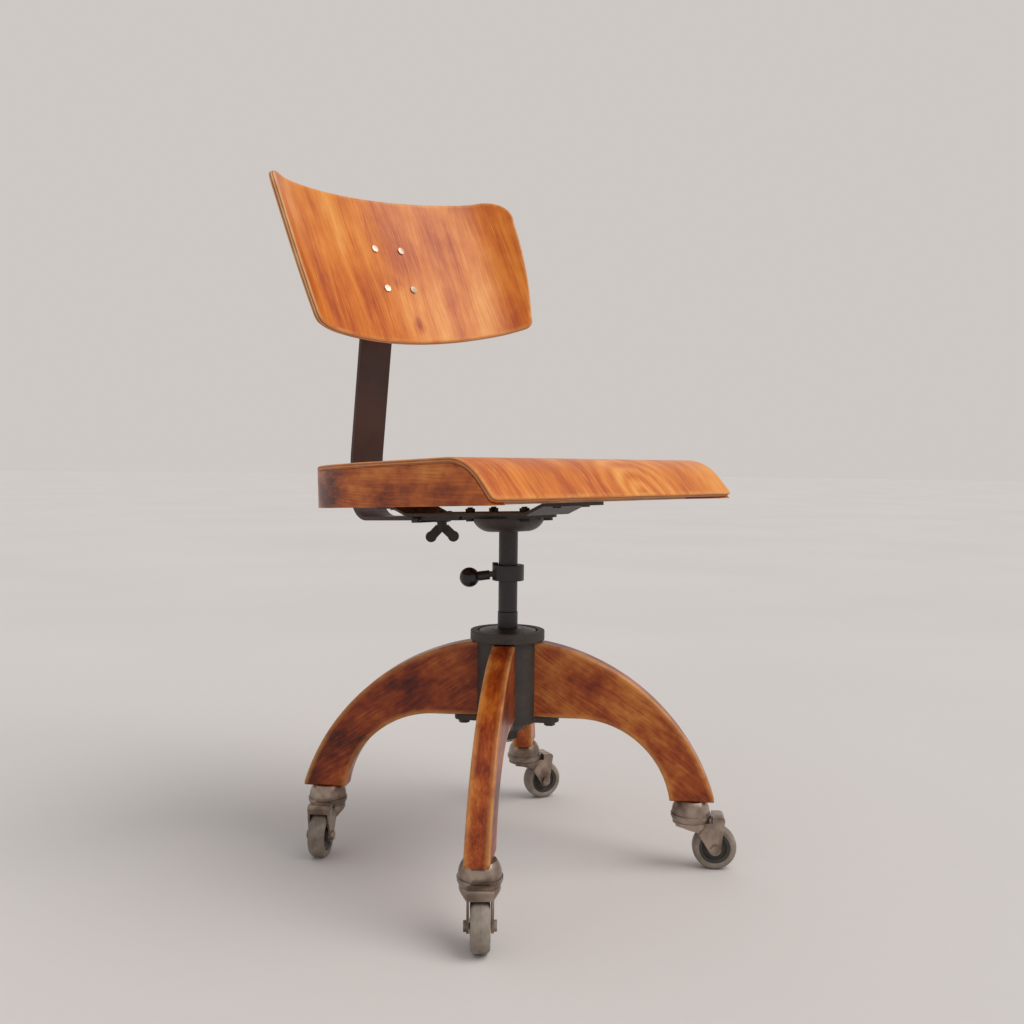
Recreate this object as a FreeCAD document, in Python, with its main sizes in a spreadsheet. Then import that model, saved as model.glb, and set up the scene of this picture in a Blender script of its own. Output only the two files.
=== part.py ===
import FreeCAD, Part
import math
import os

import Sketcher

Vector = FreeCAD.Vector
Rotation = FreeCAD.Rotation
Placement = FreeCAD.Placement
UP = Vector(0, 0, 1)

# Driving sizes in millimetres and degrees. The chair stands on z = 0 with the seat's front towards -Y.
SIZES = {
    # Where the column stands, so that the origin is under the middle of the whole chair
    "column_x": -4.4, "column_y": -24.6,
    # Hub casting
    "hub_radius": 35.5, "hub_ring_radius": 43, "hub_ring_bottom": 257.1, "hub_top": 268.4,
    "hub_recess_radius": 34.6, "hub_recess_floor": 258, "hub_bottom": 153.5,
    "hub_boss_radius": 28, "hub_boss_tip_radius": 20,
    "arm_reach": 61, "arm_width": 24, "arm_thickness": 6.5, "arm_tip_radius": 13,
    "first_leg_angle": 37.44, "leg_bolt_radius_from_axis": 50, "leg_bolt_radius": 4,
    "leg_bolt_length": 42, "leg_bolt_head_radius": 6.5, "leg_bolt_head_height": 4.5,
    # Legs
    "leg_thickness": 26, "leg_foot_height": 78.4, "leg_tip": 239, "leg_under_height": 169,
    "under_arch_start": 84, "under_arch_radius": 106, "top_arch_radius": 250.5, "top_arch_height": 8,
    "leg_root": 30, "leg_edge_round": 2.6,
    # Spindle, thrust bearing and sleeve
    "spindle_radius": 8, "running_clearance": 0.05, "spindle_bottom": 138, "spindle_top_drop": 21,
    "ball_radius": 3.2, "ball_circle_radius": 27, "ball_height": 262.9, "ball_count": 14,
    "race_thickness": 3.2, "race_bore": 20, "race_radius": 34.4, "cone_clearance": 0.3,
    "cone_radius": 33.2, "cone_bottom": 264.6, "cone_top": 271, "cage_thickness": 1.2,
    "sleeve_radius": 11.6, "sleeve_top": 289.5, "nut_radius": 13, "nut_height": 9,
    "washer_radius": 16, "washer_thickness": 2.6, "washer_gap": 0.3,
    # Post and clamp
    "post_radius": 11, "post_gap": 0.3, "post_top_drop": 17, "post_slit_width": 1.6, "post_slit_top": 352,
    "collar_radius": 18.4, "collar_bottom": 325.7, "collar_height": 18, "lever_angle": 134,
    "collar_bolt_offset": 15, "collar_bolt_radius": 2, "collar_bolt_head_radius": 3.4,
    "collar_bolt_head_height": 2.4, "lever_height": 332.6, "lever_thickness": 6.4,
    "lever_slot_height": 7, "lever_slot_width": 19, "lever_eye_radius": 3.35, "lever_blade_width": 6,
    "neck_start": 6.5, "neck_start_radius": 5.4, "neck_end_radius": 5.5, "neck_drop_angle": 7.6,
    "knob_radius": 11.5, "knob_distance": 30,
    # Seat frame of reference: all seat parts lean back together
    "seat_lean": 2.65, "plate_height": 401,
    # Post head
    "head_depth": 18.5, "head_flat_radius": 25, "head_rim_radius": 40.4, "head_rim_bottom": 7,
    "head_wall": 3, "flange_thickness": 3, "flange_half_width": 30, "flange_half_length": 54,
    "flange_corner": 12, "head_bolt_x": 19.4, "head_bolt_y": 43.6, "head_bolt_radius": 3.2,
    "head_bolt_head_radius": 5.5, "head_bolt_head_height": 3.6, "head_nut_radius": 6,
    "head_nut_height": 4.5, "bolt_stickout": 1.5,
    # Seat plate
    "plate_width": 72, "plate_thickness": 4, "plate_front": 60, "plate_rear": 141,
    "plate_rise": 9.7, "plate_slope_run": 26, "front_flange": 26, "rear_flange": 30,
    "plate_screw_x": 24, "plate_screw_radius": 2.2, "plate_screw_head_radius": 4.6,
    "plate_screw_head_height": 1.6, "plate_screw_length": 17, "plate_screw_inset": 10,
    # Seat
    "seat_half_width": 198.7, "seat_corner_radius": 175, "seat_corner_y": 37,
    "apron_height": 40.5, "apron_thickness": 18, "shell_thickness": 6.2, "seat_bend_start": 111.4,
    "seat_bend_radius": 60, "seat_bend_angle": 49.5, "seat_lip": 26.5,
    "rail_height": 20, "front_rail_front": 122, "front_rail_rear": 78, "rear_rail_front": 162,
    "rear_rail_rear": 189, "overcut": 5,
    # Back strap, its guide and its wing screw
    "strap_width": 50, "strap_thickness": 5, "strap_gap": 0.2, "strap_front": 57,
    "strap_face": 257.5, "strap_bend_radius": 25, "strap_lean_start": 64.2, "strap_lean": 9.35,
    "strap_lean_radius": 120, "strap_hinge_reach": 235.8, "strap_past_hinge": 13,
    "strap_end_round": 9, "strap_travel": 35, "slot_clearance": 0.45, "wing_screw_y": 114.6,
    "wing_screw_radius": 4, "wing_collar_radius": 9, "wing_collar_gap": 0.35,
    "wing_hub_radius": 6, "wing_hub_end": 19.7, "wing_centre": 25.7, "wing_offset": 13.7,
    "wing_radius": 6.8, "wing_thickness": 3.6, "wing_angle": -46, "wing_slope": -45,
    "wing_arm_length": 15,
    "guide_y": 128, "guide_length": 12, "guide_thickness": 2.4, "guide_gap": 0.4,
    "guide_tab": 7.6, "guide_rivet_radius": 1.6, "guide_rivet_head_radius": 2.8,
    "guide_rivet_head_height": 1.1,
    # Backrest hinge
    "hinge_standoff": 7.4, "leaf_thickness": 2.1, "knuckle_radius": 5, "pin_radius": 3,
    "inner_knuckle_half": 10, "knuckle_gap": 0.4, "outer_knuckle_end": 22, "pin_overhang": 1.5,
    "clevis_half_width": 20, "clevis_below": 40, "clevis_above": 10,
    "rivet_x": 13, "rivet_high": 16, "rivet_low": 32, "rivet_radius": 2.5, "rivet_head_radius": 4.5,
    "rivet_head_height": 1.6, "hinge_skew": -4.4, "back_tilt": 22,
    "hinge_plate_half_width": 32, "hinge_plate_below": 42, "hinge_plate_above": 31,
    # Backrest board
    "board_thickness": 7.5, "board_centre_radius": 426, "board_centre_reach": 133,
    "board_wing_radius": 128, "board_reach": 224, "board_hinge_offset": 11.9,
    "board_top_shoulder": 101.3, "board_shoulder_x": 161.6,
    "board_corner_radius": 32.4, "board_side_x": 195.3, "board_side_z": 62, "board_side_radius": 690,
    "board_foot_x": 181, "board_foot_z": -78.8, "board_toe_x": 170, "board_toe_z": -90.7,
    "board_toe_radius": 10.8, "board_top_radius": 2150, "board_bottom_radius": 2640,
    "back_bolt_x": 21.5, "back_bolt_high": 22.3, "back_bolt_low": -33.3, "back_bolt_radius": 2.2,
    "back_bolt_head_radius": 4.5, "back_bolt_head_height": 1.4, "back_nut_radius": 4.6,
    "back_nut_height": 3,
    # Casters
    "caster_circle_radius": 213.7, "caster_offset": 27.1, "wheel_radius": 25, "wheel_width": 20,
    "tyre_inner_radius": 17.5, "rim_width": 16, "disc_width": 11, "disc_radius": 13.5,
    "wheel_hub_radius": 7.5, "wheel_side_gap": 0.5, "axle_radius": 3, "axle_head_radius": 5.6,
    "axle_head_height": 3, "fork_plate": 2.5, "fork_crown_top": 54.6, "fork_crown_radius": 20.5,
    "fork_crown_edge": 4.4, "fork_cheek_drop": 16, "fork_eye_radius": 7, "fork_hood_start": 24,
    "fork_hood_top": 62, "fork_hood_end": 38, "fork_hood_round": 4, "fork_throat_x": 6,
    "fork_throat_z": 45.5, "cap_radius": 22.75, "cap_bottom": 55.2, "cap_lip_radius": 20.8,
    "cap_lip_height": 4.3, "cap_rim_height": 3.2, "cap_rim_step": 1.4, "cap_top_radius": 16.5,
    "cap_dome_height": 14, "cap_dome_radius": 22, "cap_wall": 2.2,
    "kingpin_radius": 4, "kingpin_head_radius": 6.2,
    "kingpin_head_height": 1, "stem_radius": 5, "stem_length": 32,
    "turn_rear_right": -22.1, "turn_rear_left": 216.5, "turn_front_left": 226.5,
    "turn_front_right": -51.8,
}
CORNERS = ["rear_right", "rear_left", "front_left", "front_right"]

doc = FreeCAD.newDocument("bankers_swivel_chair")
sheet = doc.addObject("Spreadsheet::Sheet", "sizes")
for row, (alias, number) in enumerate(SIZES.items(), start=1):
    sheet.set(f"A{row}", alias)
    sheet.set(f"B{row}", str(number))
    sheet.setAlias(f"B{row}", alias)
doc.recompute()


class Size:
    """A length or angle: its number now, and the sheet expression that keeps it."""

    def __init__(self, number, text):
        self.number = float(number)
        self.text = text

    def __add__(self, other):
        other = as_size(other)
        return Size(self.number + other.number, f"({self.text} + {other.text})")

    def __sub__(self, other):
        other = as_size(other)
        return Size(self.number - other.number, f"({self.text} - {other.text})")

    def __mul__(self, other):
        other = as_size(other)
        return Size(self.number * other.number, f"({self.text} * {other.text})")

    def __truediv__(self, other):
        other = as_size(other)
        return Size(self.number / other.number, f"({self.text} / {other.text})")

    def __neg__(self):
        return Size(-self.number, f"(-1 * {self.text})")


def as_size(value):
    """Turn a plain number into a Size, and leave a Size as it is."""
    return value if isinstance(value, Size) else Size(value, f"({float(value)})")


def size(alias):
    return Size(sheet.get(alias), f"sizes.{alias}")


def sine(angle):
    return Size(math.sin(math.radians(angle.number)), f"sin({angle.text})")


def cosine(angle):
    return Size(math.cos(math.radians(angle.number)), f"cos({angle.text})")


def leg_of(long_side, short_side):
    """The third side of a right triangle whose longest side is given first."""
    square = long_side * long_side - short_side * short_side
    return Size(math.sqrt(square.number), f"sqrt({square.text})")


ZERO = as_size(0)


def bind(piece, name, value):
    """Set a property, and tie it to the sheet."""
    piece.setExpression(name, as_size(value).text)


def new_body(label):
    body = doc.addObject("PartDesign::Body", label)
    body.Label = label
    return body


def new_sketch(body, plane, height=ZERO):
    """A sketch on one of the body's own planes, raised along that plane's normal."""
    sketch = body.newObject("Sketcher::SketchObject", body.Name + "_sketch")
    found = [item for item in body.Origin.OriginFeatures if item.Role == plane]
    sketch.AttachmentSupport = [(found[0], "")]
    sketch.MapMode = "FlatFace"
    bind(sketch, "AttachmentOffset.Base.z", height)
    return sketch


def constrain(sketch, kind, where, value):
    index = sketch.addConstraint(Sketcher.Constraint(kind, *where, value.number))
    sketch.setExpression(f"Constraints[{index}]", value.text)


def arc_between(start, end, radius, side):
    """The short arc from start to end; side is +1 where it bulges to the left of the way there."""
    chord = end - start
    half = chord.Length / 2
    depth = radius - math.sqrt(max(radius * radius - half * half, 0))
    left = Vector(-chord.y, chord.x, 0).normalize()
    middle = (start + end) * 0.5 + left * (depth * side)
    return Part.Arc(start, middle, end)


def draw_outline(sketch, corners, arcs=None):
    """A closed outline. arcs says which of its sides are round: {side number: (radius, bulge side)}."""
    arcs = arcs or {}
    corners = [(as_size(x), as_size(y)) for x, y in corners]
    points = [Vector(x.number, y.number, 0) for x, y in corners]
    first = sketch.GeometryCount
    count = len(points)
    for side in range(count):
        start = points[side]
        end = points[(side + 1) % count]
        if side in arcs:
            radius, bulge = arcs[side]
            edge = arc_between(start, end, as_size(radius).number, bulge)
        else:
            edge = Part.LineSegment(start, end)
        sketch.addGeometry(edge, False)

    def end_at(side, point):
        begins = (sketch.getPoint(first + side, 1) - point).Length
        finishes = (sketch.getPoint(first + side, 2) - point).Length
        return 1 if begins < finishes else 2

    ends = [(end_at(side, points[side]), end_at(side, points[(side + 1) % count])) for side in range(count)]
    for side in range(count):
        after = (side + 1) % count
        meeting = (first + side, ends[side][1], first + after, ends[after][0])
        sketch.addConstraint(Sketcher.Constraint("Coincident", *meeting))
    for side, (x, y) in enumerate(corners):
        where = (-1, 1, first + side, ends[side][0])
        constrain(sketch, "DistanceX", where, x)
        constrain(sketch, "DistanceY", where, y)
    for side, (radius, bulge) in arcs.items():
        constrain(sketch, "Radius", (first + side,), as_size(radius))


def draw_circle(sketch, x, y, radius):
    x, y, radius = as_size(x), as_size(y), as_size(radius)
    index = sketch.addGeometry(Part.Circle(Vector(x.number, y.number, 0), UP, radius.number), False)
    constrain(sketch, "DistanceX", (-1, 1, index, 3), x)
    constrain(sketch, "DistanceY", (-1, 1, index, 3), y)
    constrain(sketch, "Radius", (index,), radius)


def box_corners(x_low, x_high, y_low, y_high):
    return [(x_low, y_low), (x_high, y_low), (x_high, y_high), (x_low, y_high)]


def pad(body, sketch, length, both_ways=False):
    feature = body.newObject("PartDesign::Pad", body.Name + "_pad")
    feature.Profile = sketch
    bind(feature, "Length", length)
    if both_ways:
        feature.SideType = "Symmetric"
    return feature


def revolve(body, sketch, axis="V_Axis"):
    feature = body.newObject("PartDesign::Revolution", body.Name + "_turned")
    feature.Profile = sketch
    feature.ReferenceAxis = (sketch, [axis])
    feature.Angle = 360
    return feature


def pocket(body, sketch, length=None, both_ways=False, reverse=False):
    """Cut a sketch out of a body, right through where no depth is given, and check that it cuts."""
    doc.recompute()
    before = body.Shape.Volume
    feature = body.newObject("PartDesign::Pocket", body.Name + "_pocket")
    feature.Profile = sketch
    feature.Reversed = reverse
    if both_ways:
        feature.SideType = "Symmetric"
    if length is None:
        feature.Type = "ThroughAll"
    else:
        bind(feature, "Length", length)
    doc.recompute()
    if body.Shape.Volume >= before:
        raise RuntimeError(f"{body.Label}: a pocket cuts nothing")
    return feature


def fillet(body, radius, wanted):
    """Round the edges whose middle and direction pass the test."""
    doc.recompute()
    base = body.Tip
    names = []
    for number, edge in enumerate(base.Shape.Edges, start=1):
        middle = edge.valueAt((edge.FirstParameter + edge.LastParameter) / 2)
        if wanted(edge, middle):
            names.append(f"Edge{number}")
    feature = body.newObject("PartDesign::Fillet", body.Name + "_round")
    feature.Base = (base, names)
    bind(feature, "Radius", radius)
    return feature


def around(body, feature, count):
    """Repeat a feature evenly about the body's upright axis."""
    pattern = body.newObject("PartDesign::PolarPattern", body.Name + "_pattern")
    found = [item for item in body.Origin.OriginFeatures if item.Role == "Z_Axis"]
    pattern.Originals = [feature]
    pattern.Axis = (found[0], [""])
    pattern.Angle = 360
    bind(pattern, "Occurrences", count)
    body.Tip = pattern
    return pattern


def primitive(kind, label, place=Placement(), **sizes):
    """A Part primitive with its sizes tied to the sheet."""
    piece = doc.addObject("Part::" + kind, label)
    for name, value in sizes.items():
        bind(piece, name, value)
    piece.Placement = place
    return piece


def cylinder(label, radius, height, place=Placement()):
    return primitive("Cylinder", label, place, Radius=radius, Height=height)


def hexagon(label, radius, height, place=Placement()):
    piece = primitive("Prism", label, place, Circumradius=radius, Height=height)
    piece.Polygon = 6
    return piece


def fuse(label, pieces):
    piece = doc.addObject("Part::MultiFuse", label)
    piece.Shapes = pieces
    return piece


def cut(label, base, tool):
    piece = doc.addObject("Part::Cut", label)
    piece.Base = base
    piece.Tool = tool
    return piece


def group(label, pieces):
    """Alike fasteners that share one file."""
    piece = doc.addObject("Part::Compound", label)
    piece.Label = label
    piece.Links = pieces
    return piece


def lift_up(z):
    return Placement(Vector(0, 0, as_size(z).number), Rotation())


def moved(x, y, z, rotation=None):
    place = Vector(as_size(x).number, as_size(y).number, as_size(z).number)
    return Placement(place, rotation or Rotation())


def turned(angle, axis=UP):
    return Placement(Vector(), Rotation(axis, as_size(angle).number))


def ring_body(label, inner, outer, bottom, top):
    body = new_body(label)
    sketch = new_sketch(body, "XZ_Plane")
    draw_outline(sketch, box_corners(inner, outer, bottom, top))
    revolve(body, sketch)
    return body


parts = {}


def keep(piece, place):
    """Give a finished sub-part its place and put it on the list of files."""
    piece.Placement = place.multiply(piece.Placement)
    parts[piece.Label] = piece


X_AXIS = Vector(1, 0, 0)
Y_AXIS = Vector(0, 1, 0)
column = moved(size("column_x"), size("column_y"), 0)
seat_place = column.multiply(moved(0, 0, size("plate_height"))).multiply(turned(-size("seat_lean"), X_AXIS))
bore_radius = size("spindle_radius") + size("running_clearance")
post_top = size("plate_height") - size("post_top_drop")
spindle_top = size("plate_height") - size("spindle_top_drop")


def leg_angle(number):
    return size("first_leg_angle") + 90 * number


# Base: hub, legs and bearing

def make_hub():
    body = new_body("hub_casting")
    profile = new_sketch(body, "XZ_Plane")
    arm_bottom = size("leg_under_height") - size("arm_thickness")
    draw_outline(profile, [
        (bore_radius, size("hub_bottom")),
        (size("hub_boss_tip_radius"), size("hub_bottom")),
        (size("hub_boss_radius"), arm_bottom),
        (size("hub_radius"), arm_bottom),
        (size("hub_radius"), size("hub_ring_bottom")),
        (size("hub_ring_radius"), size("hub_ring_bottom")),
        (size("hub_ring_radius"), size("hub_top")),
        (size("hub_recess_radius"), size("hub_top")),
        (size("hub_recess_radius"), size("hub_recess_floor")),
        (bore_radius, size("hub_recess_floor")),
    ])
    revolve(body, profile)
    arm_sketch = new_sketch(body, "XY_Plane", arm_bottom)
    half = size("arm_width") / 2
    shoulder = size("arm_reach") - (size("arm_tip_radius") - leg_of(size("arm_tip_radius"), half))
    root = size("hub_boss_radius")
    draw_outline(arm_sketch, [(root, -half), (shoulder, -half), (shoulder, half), (root, half)],
                 {1: (size("arm_tip_radius"), -1)})
    draw_circle(arm_sketch, size("leg_bolt_radius_from_axis"), 0, size("leg_bolt_radius"))
    arm = pad(body, arm_sketch, size("arm_thickness"))
    around(body, arm, 4)
    keep(body, column.multiply(turned(leg_angle(0))))


def make_leg(number):
    body = new_body("leg_" + CORNERS[number])
    profile = new_sketch(body, "XZ_Plane")
    under_centre = size("leg_under_height") - size("under_arch_radius")
    foot_rise = size("leg_foot_height") - under_centre
    foot_start = size("under_arch_start") + leg_of(size("under_arch_radius"), foot_rise)
    tip_height = size("top_arch_height") + leg_of(size("top_arch_radius"), size("leg_tip"))
    root_height = size("top_arch_height") + leg_of(size("top_arch_radius"), size("leg_root"))
    draw_outline(profile, [
        (size("leg_root"), size("leg_under_height")),
        (size("under_arch_start"), size("leg_under_height")),
        (foot_start, size("leg_foot_height")),
        (size("leg_tip"), size("leg_foot_height")),
        (size("leg_tip"), tip_height),
        (size("leg_root"), root_height),
    ], {1: (size("under_arch_radius"), 1), 4: (size("top_arch_radius"), -1)})
    pad(body, profile, size("leg_thickness"), both_ways=True)
    half = size("leg_thickness").number / 2
    root = size("leg_root").number + 0.5

    def long_edge(edge, middle):
        return abs(abs(middle.y) - half) < 0.01 and middle.x > root

    fillet(body, size("leg_edge_round"), long_edge)
    hub_cut = new_sketch(body, "XY_Plane")
    draw_circle(hub_cut, 0, 0, size("hub_radius"))
    pocket(body, hub_cut, both_ways=True)
    bolt_hole = new_sketch(body, "XY_Plane", size("leg_under_height"))
    draw_circle(bolt_hole, size("leg_bolt_radius_from_axis"), 0, size("leg_bolt_radius"))
    pocket(body, bolt_hole, size("leg_bolt_length") - size("arm_thickness"), reverse=True)
    stem_hole = new_sketch(body, "XY_Plane", size("leg_foot_height"))
    draw_circle(stem_hole, size("caster_circle_radius"), 0, size("stem_radius"))
    pocket(body, stem_hole, size("stem_length"), reverse=True)
    keep(body, column.multiply(turned(leg_angle(number))))


def make_leg_bolts():
    head_top = size("leg_under_height") - size("arm_thickness")
    bolts = []
    for number in range(4):
        across = moved(size("leg_bolt_radius_from_axis"), 0, 0)
        place = turned(leg_angle(number)).multiply(across)
        head_place = place.multiply(lift_up(head_top - size("leg_bolt_head_height")))
        head = hexagon("leg_bolt_head", size("leg_bolt_head_radius"), size("leg_bolt_head_height"),
                       head_place)
        shank_place = place.multiply(lift_up(head_top))
        shank = cylinder("leg_bolt_shank", size("leg_bolt_radius"), size("leg_bolt_length"), shank_place)
        bolts.append(fuse("leg_bolt", [head, shank]))
    keep(group("leg_bolts", bolts), column)


def groove(height, radius):
    """Half the width of a ball groove at a height above or below the balls' centres."""
    return leg_of(radius, height)


def make_bearing():
    circle = size("ball_circle_radius")
    race_top = size("hub_recess_floor") + size("race_thickness")
    race_half = groove(size("ball_height") - race_top, size("ball_radius"))
    cup = new_body("bearing_cup")
    profile = new_sketch(cup, "XZ_Plane")
    draw_outline(profile, [
        (size("race_bore"), size("hub_recess_floor")),
        (size("race_radius"), size("hub_recess_floor")),
        (size("race_radius"), race_top),
        (circle + race_half, race_top),
        (circle - race_half, race_top),
        (size("race_bore"), race_top),
    ], {3: (size("ball_radius"), 1)})
    revolve(cup, profile)
    keep(cup, column)

    cone = new_body("bearing_cone")
    cone_groove = size("ball_radius") + size("cone_clearance")
    cone_half = groove(size("cone_bottom") - size("ball_height"), cone_groove)
    profile = new_sketch(cone, "XZ_Plane")
    draw_outline(profile, [
        (size("spindle_radius"), size("cone_bottom")),
        (circle - cone_half, size("cone_bottom")),
        (circle + cone_half, size("cone_bottom")),
        (size("cone_radius"), size("cone_bottom")),
        (size("cone_radius"), size("cone_top") - size("race_thickness")),
        (size("sleeve_radius") + size("race_thickness") * 2, size("cone_top")),
        (size("spindle_radius"), size("cone_top")),
    ], {1: (cone_groove, 1)})
    revolve(cone, profile)
    keep(cone, column)

    balls = []
    count = int(size("ball_count").number)
    for number in range(count):
        place = turned(360 / count * number).multiply(moved(circle, 0, size("ball_height")))
        balls.append(primitive("Sphere", "ball", place, Radius=size("ball_radius")))
    keep(group("bearing_balls", balls), column)

    cage = new_body("ball_cage")
    outline = new_sketch(cage, "XY_Plane", size("ball_height") - size("cage_thickness") / 2)
    draw_circle(outline, 0, 0, circle + size("ball_radius") * 1.6)
    draw_circle(outline, 0, 0, circle - size("ball_radius") * 1.6)
    pad(cage, outline, size("cage_thickness"))
    hole = new_sketch(cage, "XY_Plane", size("ball_height"))
    draw_circle(hole, circle, 0, size("ball_radius") + size("running_clearance"))
    opening = pocket(cage, hole, both_ways=True)
    around(cage, opening, size("ball_count"))
    keep(cage, column)


# Swivelling spindle

def make_spindle():
    height = spindle_top - size("spindle_bottom")
    spindle = cylinder("spindle", size("spindle_radius"), height, lift_up(size("spindle_bottom")))
    keep(spindle, column)
    sleeve = ring_body("lower_sleeve", size("spindle_radius"), size("sleeve_radius"),
                       size("cone_top"), size("sleeve_top"))
    keep(sleeve, column)
    washer_top = size("hub_bottom") - size("washer_gap")
    washer_bottom = washer_top - size("washer_thickness")
    washer = ring_body("spindle_washer", size("spindle_radius"), size("washer_radius"),
                       washer_bottom, washer_top)
    keep(washer, column)
    nut_place = lift_up(washer_bottom - size("nut_height"))
    blank = hexagon("nut_blank", size("nut_radius"), size("nut_height"), nut_place)
    hole = cylinder("nut_hole", size("spindle_radius"), size("nut_height"), nut_place)
    nut = cut("spindle_nut", blank, hole)
    keep(nut, column)


# Post, clamp and lever

def make_post():
    body = ring_body("post_tube", bore_radius, size("post_radius"),
                     size("sleeve_top") + size("post_gap"), post_top)
    slit = new_sketch(body, "XY_Plane", size("post_slit_top"))
    half = size("post_slit_width") / 2
    draw_outline(slit, box_corners(-(size("post_radius") * 1.2), ZERO, -half, half))
    pocket(body, slit, size("post_slit_top") - size("sleeve_top"))
    keep(body, column.multiply(turned(size("lever_angle"))))


def make_collar():
    top = size("collar_bottom") + size("collar_height")
    body = ring_body("clamp_collar", size("post_radius"), size("collar_radius"), size("collar_bottom"), top)
    slot = new_sketch(body, "XY_Plane", size("lever_height") + size("lever_slot_height") / 2)
    half = size("lever_slot_width") / 2
    inside = size("collar_bolt_offset") - size("lever_eye_radius")
    draw_outline(slot, box_corners(inside, size("collar_radius") * 1.2, -half, half))
    pocket(body, slot, size("lever_slot_height"))
    slit = new_sketch(body, "XY_Plane", top)
    half_slit = size("post_slit_width") / 2
    draw_outline(slit, box_corners(-(size("collar_radius") * 1.2), ZERO, -half_slit, half_slit))
    pocket(body, slit)
    hole = new_sketch(body, "XY_Plane", top)
    draw_circle(hole, size("collar_bolt_offset"), 0, size("collar_bolt_radius"))
    pocket(body, hole)
    place = column.multiply(turned(size("lever_angle")))
    keep(body, place)

    across = moved(size("collar_bolt_offset"), 0, 0)
    shank = cylinder("collar_bolt_shank", size("collar_bolt_radius"), size("collar_height"),
                     across.multiply(lift_up(size("collar_bottom"))))
    head = hexagon("collar_bolt_head", size("collar_bolt_head_radius"), size("collar_bolt_head_height"),
                   across.multiply(lift_up(top)))
    keep(fuse("collar_bolt", [shank, head]), place)


def make_lever():
    """The lever is drawn about its own pivot, reaching out along X."""
    thickness = size("lever_thickness")
    sunk = lift_up(-thickness / 2)
    eye = cylinder("lever_eye", size("lever_eye_radius"), thickness, sunk)
    blade_length = size("neck_start") + 3
    blade_place = moved(0, -size("lever_blade_width") / 2, -thickness / 2)
    blade = primitive("Box", "lever_blade", blade_place, Length=blade_length,
                      Width=size("lever_blade_width"), Height=thickness)
    outward = turned(as_size(90) + size("neck_drop_angle"), Y_AXIS)
    neck_length = size("knob_distance") - leg_of(size("knob_radius"), size("neck_end_radius"))
    neck_place = outward.multiply(lift_up(size("neck_start")))
    neck = primitive("Cone", "lever_neck", neck_place, Radius1=size("neck_start_radius"),
                     Radius2=size("neck_end_radius"), Height=neck_length - size("neck_start"))
    whole = fuse("lever_blank", [eye, blade, neck])
    bore = cylinder("lever_bore", size("collar_bolt_radius") + size("running_clearance"), thickness, sunk)
    across = moved(size("collar_bolt_offset"), 0, size("lever_height"))
    place = column.multiply(turned(size("lever_angle"))).multiply(across)
    keep(cut("clamp_lever", whole, bore), place)

    knob = primitive("Sphere", "knob_ball", outward.multiply(lift_up(size("knob_distance"))),
                     Radius=size("knob_radius"))
    socket = cylinder("knob_socket", size("neck_end_radius"), neck_length, outward)
    keep(cut("ball_knob", knob, socket), place)


# Post head and seat plate, drawn in the seat's own frame with the plate's underside at z = 0

def make_post_head():
    body = new_body("post_head")
    profile = new_sketch(body, "XZ_Plane")
    wall = size("head_wall")
    depth = size("head_depth")
    rim = size("head_rim_radius")
    flange_bottom = -size("flange_thickness")
    draw_outline(profile, [
        (size("post_radius"), -depth),
        (size("head_flat_radius"), -depth),
        (rim, -size("head_rim_bottom")),
        (rim, flange_bottom),
        (ZERO, flange_bottom),
        (ZERO, flange_bottom - wall),
        (rim - wall * 2, flange_bottom - wall),
        (size("head_flat_radius"), wall - depth),
        (size("post_radius"), wall - depth),
    ], {1: (size("head_rim_radius") * 0.55, -1)})
    revolve(body, profile)
    flange = new_sketch(body, "XY_Plane", flange_bottom)
    wide = size("flange_half_width")
    long = size("flange_half_length")
    corner = size("flange_corner")
    draw_outline(flange, [
        (corner - wide, -long), (wide - corner, -long), (wide, corner - long), (wide, long - corner),
        (wide - corner, long), (corner - wide, long), (-wide, long - corner), (-wide, corner - long),
    ], {1: (corner, -1), 3: (corner, -1), 5: (corner, -1), 7: (corner, -1)})
    for x, y in head_bolt_places():
        draw_circle(flange, x, y, size("head_bolt_radius"))
    pad(body, flange, size("flange_thickness"))
    keep(body, seat_place)


def head_bolt_places():
    x, y = size("head_bolt_x"), size("head_bolt_y")
    return [(x, y), (x, -y), (-x, y), (-x, -y)]


def make_head_bolts():
    under = -size("flange_thickness")
    stack = size("flange_thickness") + size("plate_thickness")
    bolts = []
    nuts = []
    for x, y in head_bolt_places():
        head = hexagon("head_bolt_head", size("head_bolt_head_radius"), size("head_bolt_head_height"),
                       moved(x, y, under - size("head_bolt_head_height")))
        length = stack + size("head_nut_height") + size("bolt_stickout")
        shank = cylinder("head_bolt_shank", size("head_bolt_radius"), length, moved(x, y, under))
        bolts.append(fuse("head_bolt", [head, shank]))
        on_plate = moved(x, y, size("plate_thickness"))
        blank = hexagon("head_nut_blank", size("head_nut_radius"), size("head_nut_height"), on_plate)
        hole = cylinder("head_nut_hole", size("head_bolt_radius"), size("head_nut_height"), on_plate)
        nuts.append(cut("head_nut", blank, hole))
    keep(group("head_bolts", bolts), seat_place)
    keep(group("head_nuts", nuts), seat_place)


def plate_screw_places():
    x = size("plate_screw_x")
    front_y = -(size("plate_front") + size("plate_slope_run") + size("plate_screw_inset"))
    rear_y = size("plate_rear") + size("plate_slope_run") + size("plate_screw_inset")
    return [(x, front_y), (-x, front_y), (x, rear_y), (-x, rear_y)]


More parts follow.
